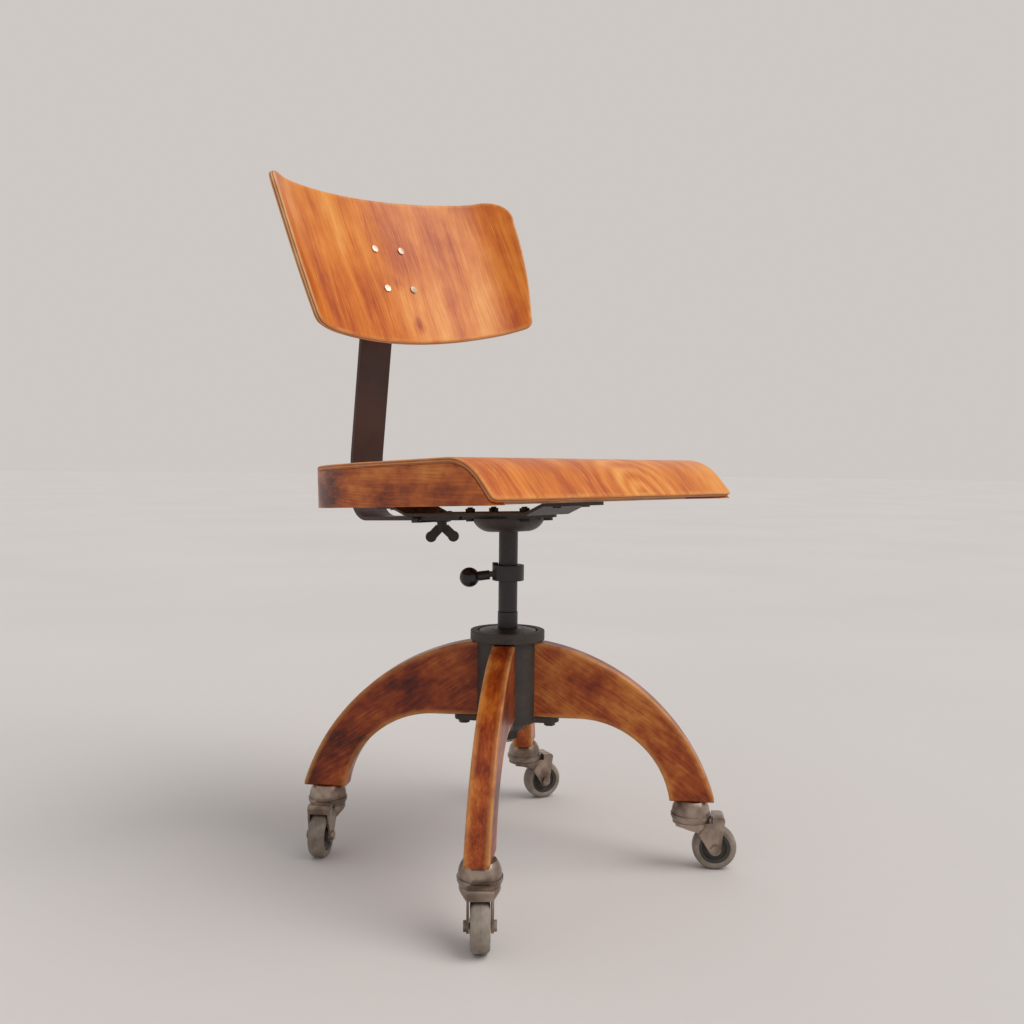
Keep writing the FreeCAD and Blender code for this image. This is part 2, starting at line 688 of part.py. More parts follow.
def make_seat_plate():
    body = new_body("seat_plate")
    profile = new_sketch(body, "YZ_Plane")
    thick = size("plate_thickness")
    rise = size("plate_rise")
    front = -size("plate_front")
    rear = size("plate_rear")
    front_up = front - size("plate_slope_run")
    rear_up = rear + size("plate_slope_run")
    front_end = front_up - size("front_flange")
    rear_end = rear_up + size("rear_flange")
    draw_outline(profile, [
        (front_end, rise), (front_up, rise), (front, ZERO), (rear, ZERO), (rear_up, rise), (rear_end, rise),
        (rear_end, rise + thick), (rear_up, rise + thick), (rear, thick), (front, thick),
        (front_up, rise + thick), (front_end, rise + thick),
    ])
    pad(body, profile, size("plate_width"), both_ways=True)
    holes = new_sketch(body, "XY_Plane")
    for x, y in head_bolt_places():
        draw_circle(holes, x, y, size("head_bolt_radius"))
    for x, y in plate_screw_places():
        draw_circle(holes, x, y, size("plate_screw_radius"))
    draw_circle(holes, 0, size("wing_screw_y"), size("wing_screw_radius") + size("running_clearance"))
    for x, y in guide_rivet_places():
        draw_circle(holes, x, y, size("guide_rivet_radius"))
    pocket(body, holes, both_ways=True)
    keep(body, seat_place)


def make_plate_screws():
    screws = []
    for x, y in plate_screw_places():
        under = size("plate_rise")
        head = cylinder("screw_head", size("plate_screw_head_radius"), size("plate_screw_head_height"),
                        moved(x, y, under - size("plate_screw_head_height")))
        shank = cylinder("screw_shank", size("plate_screw_radius"), size("plate_screw_length"),
                         moved(x, y, under))
        screws.append(fuse("plate_screw", [head, shank]))
    keep(group("seat_plate_screws", screws), seat_place)


# Seat

seat_bottom = size("plate_rise") + size("plate_thickness")
shell_bottom = seat_bottom + size("apron_height")
shell_top = shell_bottom + size("shell_thickness")


def seat_curve(thickness):
    """Where the front bend of the shell starts, ends and stops, for a surface this far below the top."""
    radius = size("seat_bend_radius") - thickness
    angle = size("seat_bend_angle")
    centre_z = shell_top - size("seat_bend_radius")
    start = (-size("seat_bend_start"), centre_z + radius)
    end = (-(size("seat_bend_start") + radius * sine(angle)), centre_z + radius * cosine(angle))
    lip = (end[0] - size("seat_lip") * cosine(angle), end[1] - size("seat_lip") * sine(angle))
    return radius, start, end, lip


def draw_seat_plan(sketch, inset, front):
    """The seat seen from above: straight sides and front, round rear corners."""
    radius = size("seat_corner_radius") - inset
    side = size("seat_half_width") - inset
    corner_x = size("seat_half_width") - size("seat_corner_radius")
    corner_y = size("seat_corner_y")
    rear = corner_y + radius
    draw_outline(sketch, [
        (-side, front), (side, front), (side, corner_y),
        (corner_x, rear), (-corner_x, rear), (-side, corner_y),
    ], {2: (radius, -1), 4: (radius, -1)})


def make_seat_frame():
    body = new_body("seat_frame")
    plan = new_sketch(body, "XY_Plane", seat_bottom)
    overcut = size("overcut")
    front = seat_curve(size("shell_thickness"))[3][0] - overcut
    draw_seat_plan(plan, ZERO, front)
    pad(body, plan, size("apron_height"))
    inside = new_sketch(body, "XY_Plane", shell_bottom)
    draw_seat_plan(inside, size("apron_thickness"), front - overcut)
    pocket(body, inside)
    radius, start, end, lip = seat_curve(size("shell_thickness"))
    slope = size("seat_bend_angle")
    toe_run = (end[1] - seat_bottom) * cosine(slope) / sine(slope)
    toe = (end[0] - toe_run, seat_bottom)
    above = new_sketch(body, "YZ_Plane")
    outside = front - size("seat_bend_radius")
    clear = shell_top + overcut
    draw_outline(above, [toe, end, start, (start[0], clear), (outside, clear), (outside, seat_bottom)],
                 {1: (radius, 1)})
    pocket(body, above, both_ways=True)
    keep(body, seat_place)


def make_seat_shell():
    body = new_body("seat_shell")
    profile = new_sketch(body, "YZ_Plane")
    thick = size("shell_thickness")
    outer_radius, outer_start, outer_end, outer_lip = seat_curve(ZERO)
    inner_radius, inner_start, inner_end, inner_lip = seat_curve(thick)
    overcut = size("overcut")
    rear = size("seat_corner_y") + size("seat_corner_radius") + overcut
    draw_outline(profile, [
        (rear, shell_top), outer_start, outer_end, outer_lip, inner_lip, inner_end, inner_start,
        (rear, shell_bottom),
    ], {1: (outer_radius, -1), 5: (inner_radius, 1)})
    width = size("seat_half_width") * 2
    pad(body, profile, width, both_ways=True)
    trim = new_sketch(body, "XY_Plane", shell_top + overcut)
    far = size("seat_half_width") * 1.5
    draw_outline(trim, box_corners(-far, far, -far, far * 1.2))
    draw_seat_plan(trim, ZERO, outer_lip[0] - overcut)
    pocket(body, trim)
    keep(body, seat_place)


def make_rails():
    top = size("rail_height")
    inner = size("seat_half_width") - size("apron_thickness")
    front_rail = new_body("front_rail")
    sketch = new_sketch(front_rail, "XY_Plane", seat_bottom)
    draw_outline(sketch, box_corners(-inner, inner, -size("front_rail_front"), -size("front_rail_rear")))
    pad(front_rail, sketch, top)
    keep(front_rail, seat_place)

    rear_rail = new_body("rear_rail")
    sketch = new_sketch(rear_rail, "XY_Plane", seat_bottom)
    radius = size("seat_corner_radius") - size("apron_thickness")
    corner_x = size("seat_half_width") - size("seat_corner_radius")
    front = size("rear_rail_front")
    rear = size("rear_rail_rear")
    front_x = corner_x + leg_of(radius, front - size("seat_corner_y"))
    rear_x = corner_x + leg_of(radius, rear - size("seat_corner_y"))
    draw_outline(sketch, [(-front_x, front), (front_x, front), (rear_x, rear), (-rear_x, rear)],
                 {1: (radius, -1), 3: (radius, -1)})
    pad(rear_rail, sketch, top)
    keep(rear_rail, seat_place)


# Back strap with its guide and wing screw

def make_strap():
    body = new_body("back_strap")
    profile = new_sketch(body, "YZ_Plane")
    top = -size("strap_gap")
    thick = size("strap_thickness")
    face = size("strap_face")
    bend = size("strap_bend_radius")
    lean = size("strap_lean")
    lean_radius = size("strap_lean_radius")
    run = size("strap_hinge_reach") + size("strap_past_hinge")

    def upright(offset):
        """The upright part of the strap's front face, or of its rear face one thickness behind."""
        radius = lean_radius + offset
        centre_y = face - lean_radius
        start = (centre_y + radius, size("strap_lean_start"))
        end = (centre_y + radius * cosine(lean), size("strap_lean_start") + radius * sine(lean))
        tip = (end[0] - run * sine(lean), end[1] + run * cosine(lean))
        return radius, start, end, tip

    front_radius, front_start, front_end, front_tip = upright(ZERO)
    rear_radius, rear_start, rear_end, rear_tip = upright(thick)
    draw_outline(profile, [
        (size("strap_front"), top),
        (face - bend, top),
        (face, top + bend),
        front_start,
        front_end,
        front_tip,
        rear_tip,
        rear_end,
        rear_start,
        (face + thick, top + bend),
        (face - bend, top - thick),
        (size("strap_front"), top - thick),
    ], {1: (bend, -1), 3: (front_radius, -1), 7: (rear_radius, 1), 9: (bend + thick, 1)})
    pad(body, profile, size("strap_width"), both_ways=True)
    tip_height = front_tip[1].number - 1
    half = size("strap_width").number / 2

    def end_corner(edge, middle):
        return abs(abs(middle.x) - half) < 0.01 and middle.z > tip_height

    fillet(body, size("strap_end_round"), end_corner)
    slot = new_sketch(body, "XY_Plane")
    slot_half = size("wing_screw_radius") + size("slot_clearance")
    rear_end_y = size("wing_screw_y") + size("slot_clearance") + slot_half
    front_end_y = size("wing_screw_y") - size("strap_travel") - size("slot_clearance") - slot_half
    corner = slot_half * 0.7
    draw_outline(slot, [
        (-slot_half, front_end_y + corner), (corner - slot_half, front_end_y),
        (slot_half - corner, front_end_y), (slot_half, front_end_y + corner),
        (slot_half, rear_end_y - corner), (slot_half - corner, rear_end_y),
        (corner - slot_half, rear_end_y), (-slot_half, rear_end_y - corner),
    ], {0: (corner, -1), 2: (corner, -1), 4: (corner, -1), 6: (corner, -1)})
    pocket(body, slot, size("strap_gap") + thick * 2)
    keep(body, seat_place)


def guide_rivet_places():
    x = size("strap_width") / 2 + size("guide_gap") + size("guide_thickness") + size("guide_tab") / 2
    y = size("guide_y") + size("guide_length") / 2
    return [(x, y), (-x, y)]


def make_strap_guide():
    body = new_body("strap_guide")
    sketch = new_sketch(body, "XZ_Plane", -(size("guide_y") + size("guide_length") / 2))
    thick = size("guide_thickness")
    inner = size("strap_width") / 2 + size("guide_gap")
    outer = inner + thick
    tab = outer + size("guide_tab")
    ceiling = -(size("strap_gap") + size("strap_thickness") + size("guide_gap"))
    draw_outline(sketch, [
        (-tab, ZERO), (-tab, -thick), (-outer, -thick), (-outer, ceiling - thick), (outer, ceiling - thick),
        (outer, -thick), (tab, -thick), (tab, ZERO), (inner, ZERO), (inner, ceiling), (-inner, ceiling),
        (-inner, ZERO),
    ])
    pad(body, sketch, size("guide_length"), both_ways=True)
    holes = new_sketch(body, "XY_Plane")
    for x, y in guide_rivet_places():
        draw_circle(holes, x, y, size("guide_rivet_radius"))
    pocket(body, holes, both_ways=True)
    keep(body, seat_place)

    rivets = []
    head = size("guide_rivet_head_height")
    for x, y in guide_rivet_places():
        low = cylinder("rivet_low", size("guide_rivet_head_radius"), head, moved(x, y, -(thick + head)))
        stack = thick + size("plate_thickness")
        shank = cylinder("rivet_shank", size("guide_rivet_radius"), stack, moved(x, y, -thick))
        high = cylinder("rivet_high", size("guide_rivet_head_radius"), head,
                        moved(x, y, size("plate_thickness")))
        rivets.append(fuse("guide_rivet", [low, shank, high]))
    keep(group("guide_rivets", rivets), seat_place)


def make_wing_screw():
    under = -(size("strap_gap") + size("strap_thickness") + size("wing_collar_gap"))
    hub_bottom = -size("wing_hub_end")
    above = size("plate_thickness") + size("bolt_stickout")
    shaft = cylinder("wing_shaft", size("wing_screw_radius"), above - hub_bottom, lift_up(hub_bottom))
    collar_height = size("guide_thickness")
    collar = cylinder("wing_collar", size("wing_collar_radius"), collar_height,
                      lift_up(under - collar_height))
    hub_top = under - collar_height
    centre = -size("wing_centre")
    hub = cylinder("wing_hub", size("wing_hub_radius"), hub_top - hub_bottom, lift_up(hub_bottom))
    pieces = [shaft, collar, hub]
    thick = size("wing_thickness")
    arm_width = size("wing_radius") * 1.7
    sideways = Rotation(X_AXIS, 90)
    for side in (-1, 1):
        place = moved(size("wing_offset") * side, thick / 2, centre, sideways)
        pieces.append(cylinder("wing", size("wing_radius"), thick, place))
        slope = Rotation(Y_AXIS, size("wing_slope").number * side)
        arm_place = moved(size("wing_offset") * side, -thick / 2, centre, slope)
        inward = moved(-arm_width / 2, 0, 0)
        pieces.append(primitive("Box", "wing_arm", arm_place.multiply(inward), Length=arm_width,
                                Width=thick, Height=size("wing_arm_length")))
    spin = moved(0, size("wing_screw_y"), 0).multiply(turned(size("wing_angle")))
    keep(fuse("wing_screw", pieces), seat_place.multiply(spin))


# Backrest hinge. Its pin lies in front of the strap; both leaves are drawn about the pin.

def hinge_point():
    """The pin's middle, in the seat's frame."""
    lean = math.radians(size("strap_lean").number)
    radius = size("strap_lean_radius").number
    reach = size("strap_hinge_reach").number
    standoff = size("hinge_standoff").number
    y = size("strap_face").number - radius + radius * math.cos(lean)
    y -= reach * math.sin(lean) + standoff * math.cos(lean)
    z = size("strap_lean_start").number + radius * math.sin(lean)
    z += reach * math.cos(lean) - standoff * math.sin(lean)
    return Vector(0, y, z)


pin_place = Placement(seat_place.multVec(hinge_point()), Rotation())
skewed = pin_place.multiply(turned(size("hinge_skew"), Y_AXIS))
clevis_place = skewed.multiply(turned(size("strap_lean") - size("seat_lean"), X_AXIS))
back_place = skewed.multiply(turned(-size("back_tilt"), X_AXIS))
side_turn = Rotation(Y_AXIS, 90)
knuckle_bore = size("pin_radius") + size("running_clearance")


def knuckle(label, start, end, side):
    """A knuckle about the pin, with the web that carries it to its leaf."""
    radius = size("knuckle_radius")
    barrel = cylinder(label + "_barrel", radius, end - start, moved(start, 0, 0, side_turn))
    leaf = size("hinge_standoff") - size("leaf_thickness") / 2
    low_y = ZERO if side > 0 else -leaf
    web = primitive("Box", label + "_web", moved(start, low_y, -radius), Length=end - start, Width=leaf,
                    Height=radius)
    return [barrel, web]


def leaf_plate(label, half_width, below, above, side):
    thick = size("leaf_thickness")
    near = size("hinge_standoff") - thick
    low_y = near if side > 0 else -size("hinge_standoff")
    return primitive("Box", label, moved(-half_width, low_y, -below), Length=half_width * 2, Width=thick,
                     Height=below + above)


def make_clevis():
    half = size("inner_knuckle_half")
    pieces = knuckle("clevis_knuckle", -half, half, 1)
    pieces.append(leaf_plate("clevis_leaf", size("clevis_half_width"), size("clevis_below"),
                             size("clevis_above"), 1))
    length = half * 2
    bore = cylinder("clevis_bore", size("pin_radius"), length, moved(-half, 0, 0, side_turn))
    keep(cut("strap_clevis", fuse("clevis_blank", pieces), bore), clevis_place)

    reach = size("outer_knuckle_end") + size("pin_overhang")
    pin = cylinder("pivot_pin", size("pin_radius"), reach * 2, moved(-reach, 0, 0, side_turn))
    keep(pin, clevis_place)

    rearward = Rotation(X_AXIS, -90)
    front = size("hinge_standoff") - size("leaf_thickness")
    stack = size("leaf_thickness") + size("strap_thickness")
    head = size("rivet_head_height")
    rivets = []
    for x in (-size("rivet_x"), size("rivet_x")):
        for z in (-size("rivet_high"), -size("rivet_low")):
            near = cylinder("rivet_front", size("rivet_head_radius"), head,
                            moved(x, front - head, z, rearward))
            shank = cylinder("rivet_body", size("rivet_radius"), stack, moved(x, front, z, rearward))
            far = cylinder("rivet_rear", size("rivet_head_radius"), head,
                           moved(x, front + stack, z, rearward))
            rivets.append(fuse("clevis_rivet", [near, shank, far]))
    keep(group("clevis_rivets", rivets), clevis_place)


def back_bolt_places():
    x = size("back_bolt_x")
    return [(side, height) for side in (x, -x) for height in (size("back_bolt_high"), size("back_bolt_low"))]


def make_hinge_plate():
    start = size("inner_knuckle_half") + size("knuckle_gap")
    end = size("outer_knuckle_end")
    pieces = knuckle("right_knuckle", start, end, -1) + knuckle("left_knuckle", -end, -start, -1)
    pieces.append(leaf_plate("back_leaf", size("hinge_plate_half_width"), size("hinge_plate_below"),
                             size("hinge_plate_above"), -1))
    tools = [cylinder("back_bore", knuckle_bore, end * 2, moved(-end, 0, 0, side_turn))]
    rearward = Rotation(X_AXIS, -90)
    for x, z in back_bolt_places():
        tools.append(cylinder("plate_hole", size("back_bolt_radius"), size("leaf_thickness"),
                              moved(x, -size("hinge_standoff"), z, rearward)))
    keep(cut("hinge_plate", fuse("plate_blank", pieces), fuse("plate_holes", tools)), back_place)


def make_board():
    """A bent plywood board: a plan outline of two sweeps, trimmed to its face outline."""
    body = new_body("backrest_board")
    plan = new_sketch(body, "XY_Plane")
    middle = size("board_centre_radius")
    wing = size("board_wing_radius")
    to_degrees = 180 / math.pi
    bend = size("board_centre_reach") / middle * to_degrees
    tip = bend + (size("board_reach") - size("board_centre_reach")) / wing * to_degrees
    front = -(size("hinge_standoff") + size("board_thickness"))

    def sweep(offset):
        """Half of one face, from the middle out: the two points where its arcs end."""
        near = middle + offset
        far = wing + offset
        joint = (near * sine(bend), front + near * cosine(bend) - middle)
        wing_centre_x = (middle - wing) * sine(bend)
        wing_centre_y = front - middle + (middle - wing) * cosine(bend)
        end = (wing_centre_x + far * sine(tip), wing_centre_y + far * cosine(tip))
        return near, far, joint, end

    near, far, joint, end = sweep(ZERO)
    rear_near, rear_far, rear_joint, rear_end = sweep(size("board_thickness"))

    def mirrored(point):
        return (-point[0], point[1])

    draw_outline(plan, [
        mirrored(end), mirrored(joint), joint, end, rear_end, rear_joint, mirrored(rear_joint),
        mirrored(rear_end),
    ], {0: (far, 1), 1: (near, 1), 2: (far, 1), 4: (rear_far, -1), 5: (rear_near, -1), 6: (rear_far, -1)})
    tall = size("board_top_shoulder") * 3
    pad(body, plan, tall, both_ways=True)

    face = new_sketch(body, "XZ_Plane")
    wide = size("board_reach") * 1.3
    draw_outline(face, box_corners(-wide, wide, -tall, tall))
    drop = size("board_hinge_offset")
    shoulder = (size("board_shoulder_x"), size("board_top_shoulder") - drop)
    side_top = (size("board_side_x"), size("board_side_z") - drop)
    foot = (size("board_foot_x"), size("board_foot_z") - drop)
    toe = (size("board_toe_x"), size("board_toe_z") - drop)
    draw_outline(face, [
        mirrored(shoulder), shoulder, side_top, foot, toe, mirrored(toe), mirrored(foot), mirrored(side_top),
    ], {
        0: (size("board_top_radius"), -1), 1: (size("board_corner_radius"), 1),
        2: (size("board_side_radius"), 1), 3: (size("board_toe_radius"), 1),
        4: (size("board_bottom_radius"), 1), 5: (size("board_toe_radius"), 1),
        6: (size("board_side_radius"), 1), 7: (size("board_corner_radius"), 1),
    })
    pocket(body, face, both_ways=True)
    holes = new_sketch(body, "XZ_Plane")
    for x, z in back_bolt_places():
        draw_circle(holes, x, z, size("back_bolt_radius"))
    pocket(body, holes, both_ways=True)
    keep(body, back_place)


def make_back_bolts():
    rearward = Rotation(X_AXIS, -90)
    middle = size("board_centre_radius")
    edge = size("back_bolt_x") + size("back_bolt_head_radius")
    sag = middle - leg_of(middle, edge)
    seat = -(size("hinge_standoff") + size("board_thickness") + sag)
    nut_seat = size("leaf_thickness") - size("hinge_standoff")
    length = nut_seat + size("back_nut_height") + 1 - seat
    bolts = []
    nuts = []
    for x, z in back_bolt_places():
        head_place = moved(x, seat - size("back_bolt_head_height"), z, rearward)
        head = cylinder("back_bolt_head", size("back_bolt_head_radius"), size("back_bolt_head_height"),
                        head_place)
        shank = cylinder("back_bolt_shank", size("back_bolt_radius"), length, moved(x, seat, z, rearward))
        bolts.append(fuse("back_bolt", [head, shank]))
        nut_place = moved(x, nut_seat, z, rearward)
        blank = hexagon("back_nut_blank", size("back_nut_radius"), size("back_nut_height"), nut_place)
        hole = cylinder("back_nut_hole", size("back_bolt_radius"), size("back_nut_height"), nut_place)
        nuts.append(cut("back_nut", blank, hole))
    keep(group("backrest_bolts", bolts), back_place)
    keep(group("backrest_nuts", nuts), back_place)


# Casters, each drawn about its own swivel axis with the wheel trailing along X

def caster_place(number):
    out = moved(size("caster_circle_radius"), 0, 0)
    stand = column.multiply(turned(leg_angle(number))).multiply(out)
    turn = size("turn_" + CORNERS[number]) - leg_angle(number)
    return stand.multiply(turned(turn))


def make_cap(number):
    body = new_body("caster_cap_" + CORNERS[number])
    profile = new_sketch(body, "XZ_Plane")
    radius = size("cap_radius")
    lip = size("cap_lip_radius")
    top = size("leg_foot_height")
    bottom = size("cap_bottom")
    waist = bottom + size("cap_lip_height")
    rim_top = waist + size("cap_rim_height")
    dome_foot = top - size("cap_dome_height")
    shoulder = radius - size("cap_rim_step")
    crown = size("cap_top_radius")
    dome = size("cap_dome_radius")
    wall = size("cap_wall")
    pin = size("kingpin_radius")
    pin_end = size("fork_crown_top") - size("fork_plate") - size("running_clearance")
    head_bottom = pin_end - size("kingpin_head_height")
    draw_outline(profile, [
        (ZERO, head_bottom),
        (size("kingpin_head_radius"), head_bottom),
        (size("kingpin_head_radius"), pin_end),
        (pin, pin_end),
        (pin, top - wall),
        (crown - wall / 2, top - wall),
        (shoulder - wall, dome_foot),
        (shoulder - wall, waist),
        (lip - wall, bottom),
        (lip, bottom),
        (radius, waist),
        (radius, rim_top),
        (shoulder, rim_top),
        (shoulder, dome_foot),
        (crown, top),
        (size("stem_radius"), top),
        (size("stem_radius"), top + size("stem_length")),
        (ZERO, top + size("stem_length")),
    ], {5: (dome - wall, 1), 13: (dome, -1)})
    revolve(body, profile)
    keep(body, caster_place(number))


def make_fork(number):
    body = new_body("caster_fork_" + CORNERS[number])
    side = new_sketch(body, "XZ_Plane")
    top = size("fork_crown_top")
    crown = size("fork_crown_radius")
    eye = size("fork_eye_radius")
    axle_x = size("caster_offset")
    axle_z = size("wheel_radius")
    hood_top = size("fork_hood_top")
    hood_end = size("fork_hood_end")
    hood_round = size("fork_hood_round")
    edge = top - size("fork_crown_edge")
    throat = (size("fork_throat_x"), size("fork_throat_z"))
    eye_front = (axle_x - eye * 0.8, axle_z - eye * 0.6)
    eye_rear = (axle_x + eye * 0.96, axle_z + eye * 0.28)
    draw_outline(side, [
        (ZERO, top), (size("fork_hood_start"), top), (size("fork_hood_start"), hood_top),
        (hood_end - hood_round, hood_top), (hood_end, hood_top - hood_round),
        eye_rear, eye_front, throat, (ZERO, edge),
    ], {3: (hood_round, 1), 5: (eye, 1)})
    plate = size("fork_plate")
    inside = size("wheel_width") + size("wheel_side_gap") * 2
    half = inside / 2
    pad(body, side, inside + plate * 2, both_ways=True)
    dish = new_sketch(body, "XZ_Plane")
    draw_outline(dish, [
        (ZERO, top), (crown, top), (crown, edge), (half + plate, edge - size("fork_cheek_drop")),
        (ZERO, edge - size("fork_cheek_drop")),
    ])
    revolve(body, dish)
    under = new_sketch(body, "XZ_Plane")
    draw_outline(under, [
        (-crown * 1.2, edge), (ZERO - crown / 2, edge), throat, eye_front, (eye_front[0], ZERO),
        (-crown * 1.2, ZERO),
    ])
    pocket(body, under, both_ways=True)
    gap = new_sketch(body, "YZ_Plane")
    draw_outline(gap, box_corners(-half, half, ZERO, top - plate))
    pocket(body, gap, both_ways=True)
    pin_hole = new_sketch(body, "XY_Plane", top)
    draw_circle(pin_hole, 0, 0, size("kingpin_radius") + size("running_clearance"))
    pocket(body, pin_hole, plate * 2)
    axle_hole = new_sketch(body, "XZ_Plane")
    draw_circle(axle_hole, axle_x, axle_z, size("axle_radius"))
    pocket(body, axle_hole, both_ways=True)
    keep(body, caster_place(number))

    half_out = half + plate
    head = size("axle_head_height")
    across = Rotation(X_AXIS, 90)
    shaft = cylinder("axle_shaft", size("axle_radius"), half_out * 2, moved(axle_x, half_out, axle_z, across))
    near = hexagon("axle_head", size("axle_head_radius"), head,
                   moved(axle_x, half_out + head, axle_z, across))
    far = hexagon("axle_nut", size("axle_head_radius"), head, moved(axle_x, -half_out, axle_z, across))
    keep(fuse("caster_axle_" + CORNERS[number], [shaft, near, far]), caster_place(number))


def make_wheel(number):
    """The wheel is turned about its axle, then laid across the fork."""
    axle = moved(size("caster_offset"), 0, size("wheel_radius"), Rotation(X_AXIS, 90))
    place = caster_place(number).multiply(axle)
    body = new_body("wheel_core_" + CORNERS[number])
    profile = new_sketch(body, "XZ_Plane")
    bore = size("axle_radius") + size("running_clearance")
    hub = size("wheel_hub_radius")
    disc = size("disc_radius")
    rim = size("tyre_inner_radius")
    half_hub = size("wheel_width") / 2
    half_disc = size("disc_width") / 2
    half_rim = size("rim_width") / 2
    draw_outline(profile, [
        (bore, -half_hub), (hub, -half_hub), (hub, -half_disc), (disc, -half_disc), (disc, -half_rim),
        (rim, -half_rim), (rim, half_rim), (disc, half_rim), (disc, half_disc), (hub, half_disc),
        (hub, half_hub), (bore, half_hub),
    ])
    revolve(body, profile)
    keep(body, place)

    tyre = new_body("tyre_" + CORNERS[number])
    profile = new_sketch(tyre, "XZ_Plane")
    outer = size("wheel_radius")
    half_tyre = size("wheel_width") / 2 - size("wheel_side_gap")
    shoulder_drop = (outer - rim) * 0.4
    shoulder = outer - shoulder_drop
    tread = half_tyre * 0.45
    shoulder_run = half_tyre - tread
    round_off = (shoulder_drop * shoulder_drop + shoulder_run * shoulder_run) / (shoulder_drop * 2)
    draw_outline(profile, [
        (rim, -half_tyre), (shoulder, -half_tyre), (outer, -tread), (outer, tread), (shoulder, half_tyre),
        (rim, half_tyre),
    ], {1: (round_off, -1), 3: (round_off, -1)})
    revolve(tyre, profile)
    keep(tyre, place)


make_hub()
for corner in range(4):
    make_leg(corner)
make_leg_bolts()
make_bearing()
make_spindle()
make_post()
make_collar()
make_lever()
make_post_head()
make_head_bolts()
make_seat_plate()
make_plate_screws()
make_seat_frame()
make_seat_shell()
make_rails()
make_strap()
make_strap_guide()
make_wing_screw()
make_clevis()
make_hinge_plate()
make_board()
make_back_bolts()
for corner in range(4):
    make_cap(corner)
    make_fork(corner)
    make_wheel(corner)
doc.recompute()

for item in doc.Objects:
    if "Invalid" in item.State or "Error" in item.State:
        raise RuntimeError(f"{item.Label} failed: {item.State}")
for label, piece in parts.items():
    if piece.Shape.isNull() or not piece.Shape.isValid():
        raise RuntimeError(f"{label} has no valid shape")

os.makedirs("parts", exist_ok=True)
for label, piece in parts.items():
    piece.Shape.exportStep(f"parts/{label}.step")
    box = piece.Shape.BoundBox
    print(f"{label}: {len(piece.Shape.Solids)} solids, {piece.Shape.Volume:.0f} mm3, "
          f"x {box.XMin:.1f} {box.XMax:.1f}, y {box.YMin:.1f} {box.YMax:.1f}, "
          f"z {box.ZMin:.1f} {box.ZMax:.1f}")
print(len(parts), "sub-parts")
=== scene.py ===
# %% [markdown]
# # A bankers swivel chair
# This lesson dresses a chair that was already built as solid parts: a bent plywood backrest and seat,
# a steel post under the seat, and four arched wooden legs on casters. The solid parts are brought in as
# a fixed frame. Where a solid already has the right shape it only gets a finish, and where the real
# piece is finer, such as the bent plywood, a new mesh is made in its place.

import math

import bmesh
import bpy
import numpy as np
from mathutils import Matrix, Vector


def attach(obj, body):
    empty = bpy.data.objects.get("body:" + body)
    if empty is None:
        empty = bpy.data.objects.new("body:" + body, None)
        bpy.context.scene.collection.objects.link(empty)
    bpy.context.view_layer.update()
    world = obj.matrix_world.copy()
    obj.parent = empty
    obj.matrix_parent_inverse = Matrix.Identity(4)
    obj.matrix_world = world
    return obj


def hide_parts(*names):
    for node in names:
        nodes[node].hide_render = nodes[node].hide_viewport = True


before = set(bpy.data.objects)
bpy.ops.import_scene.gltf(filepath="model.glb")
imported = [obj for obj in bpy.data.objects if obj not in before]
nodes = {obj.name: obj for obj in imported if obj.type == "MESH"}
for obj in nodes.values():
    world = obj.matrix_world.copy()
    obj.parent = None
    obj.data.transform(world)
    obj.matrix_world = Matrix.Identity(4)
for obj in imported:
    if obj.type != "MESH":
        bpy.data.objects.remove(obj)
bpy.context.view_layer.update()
MM = 0.001

# %% [markdown]
# ## The camera
# A photograph is matched by giving the camera the place, the direction and the lens that took it. The
# direction is built from three turns: a heading round the upright axis, a small dip, and a slight roll.
# Writing the camera's own axes as the columns of a matrix is clearer than guessing three Euler angles.

# %% Camera
HEADING = math.radians(46.18)
DIP = math.radians(2.70)
ROLL = math.radians(0.575)
CAMERA_PLACE = Vector((-0.8704, -0.8609, 0.4615))
LENS = 36.67


def aim_camera(place, heading, dip, roll, lens):
    across = Vector((math.cos(heading), -math.sin(heading), 0))
    level = math.cos(dip)
    ahead = Vector((math.sin(heading) * level, math.cos(heading) * level, -math.sin(dip)))
    above = across.cross(ahead)
    right = across * math.cos(roll) + above * math.sin(roll)
    up = above * math.cos(roll) - across * math.sin(roll)
    data = bpy.data.cameras.new("camera")
    data.lens = lens
    data.sensor_width = 36
    camera = bpy.data.objects.new("camera", data)
    camera.matrix_world = Matrix.Translation(place) @ Matrix((right, up, -ahead)).transposed().to_4x4()
    bpy.context.scene.collection.objects.link(camera)
    bpy.context.scene.camera = camera
    return camera


camera = aim_camera(CAMERA_PLACE, HEADING, DIP, ROLL, LENS)
print("camera lens:", camera.data.lens, "mm, height:", round(camera.location.z, 3), "m")

# %% [markdown]
# ## Mesh helpers
# Most pieces here are built from rows of points. numpy holds the points, and `from_pydata` turns them
# into a mesh. A helper keeps each piece's code down to its shape, and smooths the faces by angle, so
# that curved faces shade evenly while corners stay crisp.

# %% Helpers for new pieces
def new_piece(name, points, faces, finishes, body, place=Matrix.Identity(4), smooth=40):
    """A mesh piece from points in millimetres that rides on a body."""
    mesh = bpy.data.meshes.new(name)
    mesh.from_pydata([Vector(point) * MM for point in points], [], faces)
    mesh.validate()
    mesh.transform(place)
    for finish in finishes:
        mesh.materials.append(finish)
    mesh.shade_smooth()
    mesh.set_sharp_from_angle(angle=math.radians(smooth))
    piece = bpy.data.objects.new(name, mesh)
    bpy.context.scene.collection.objects.link(piece)
    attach(piece, body)
    return piece


def in_mm(x, y, z):
    """A move given in millimetres, as a matrix in metres."""
    return Matrix.Translation(Vector((x, y, z)) * MM)


def turn(degrees, axis):
    return Matrix.Rotation(math.radians(degrees), 4, axis)


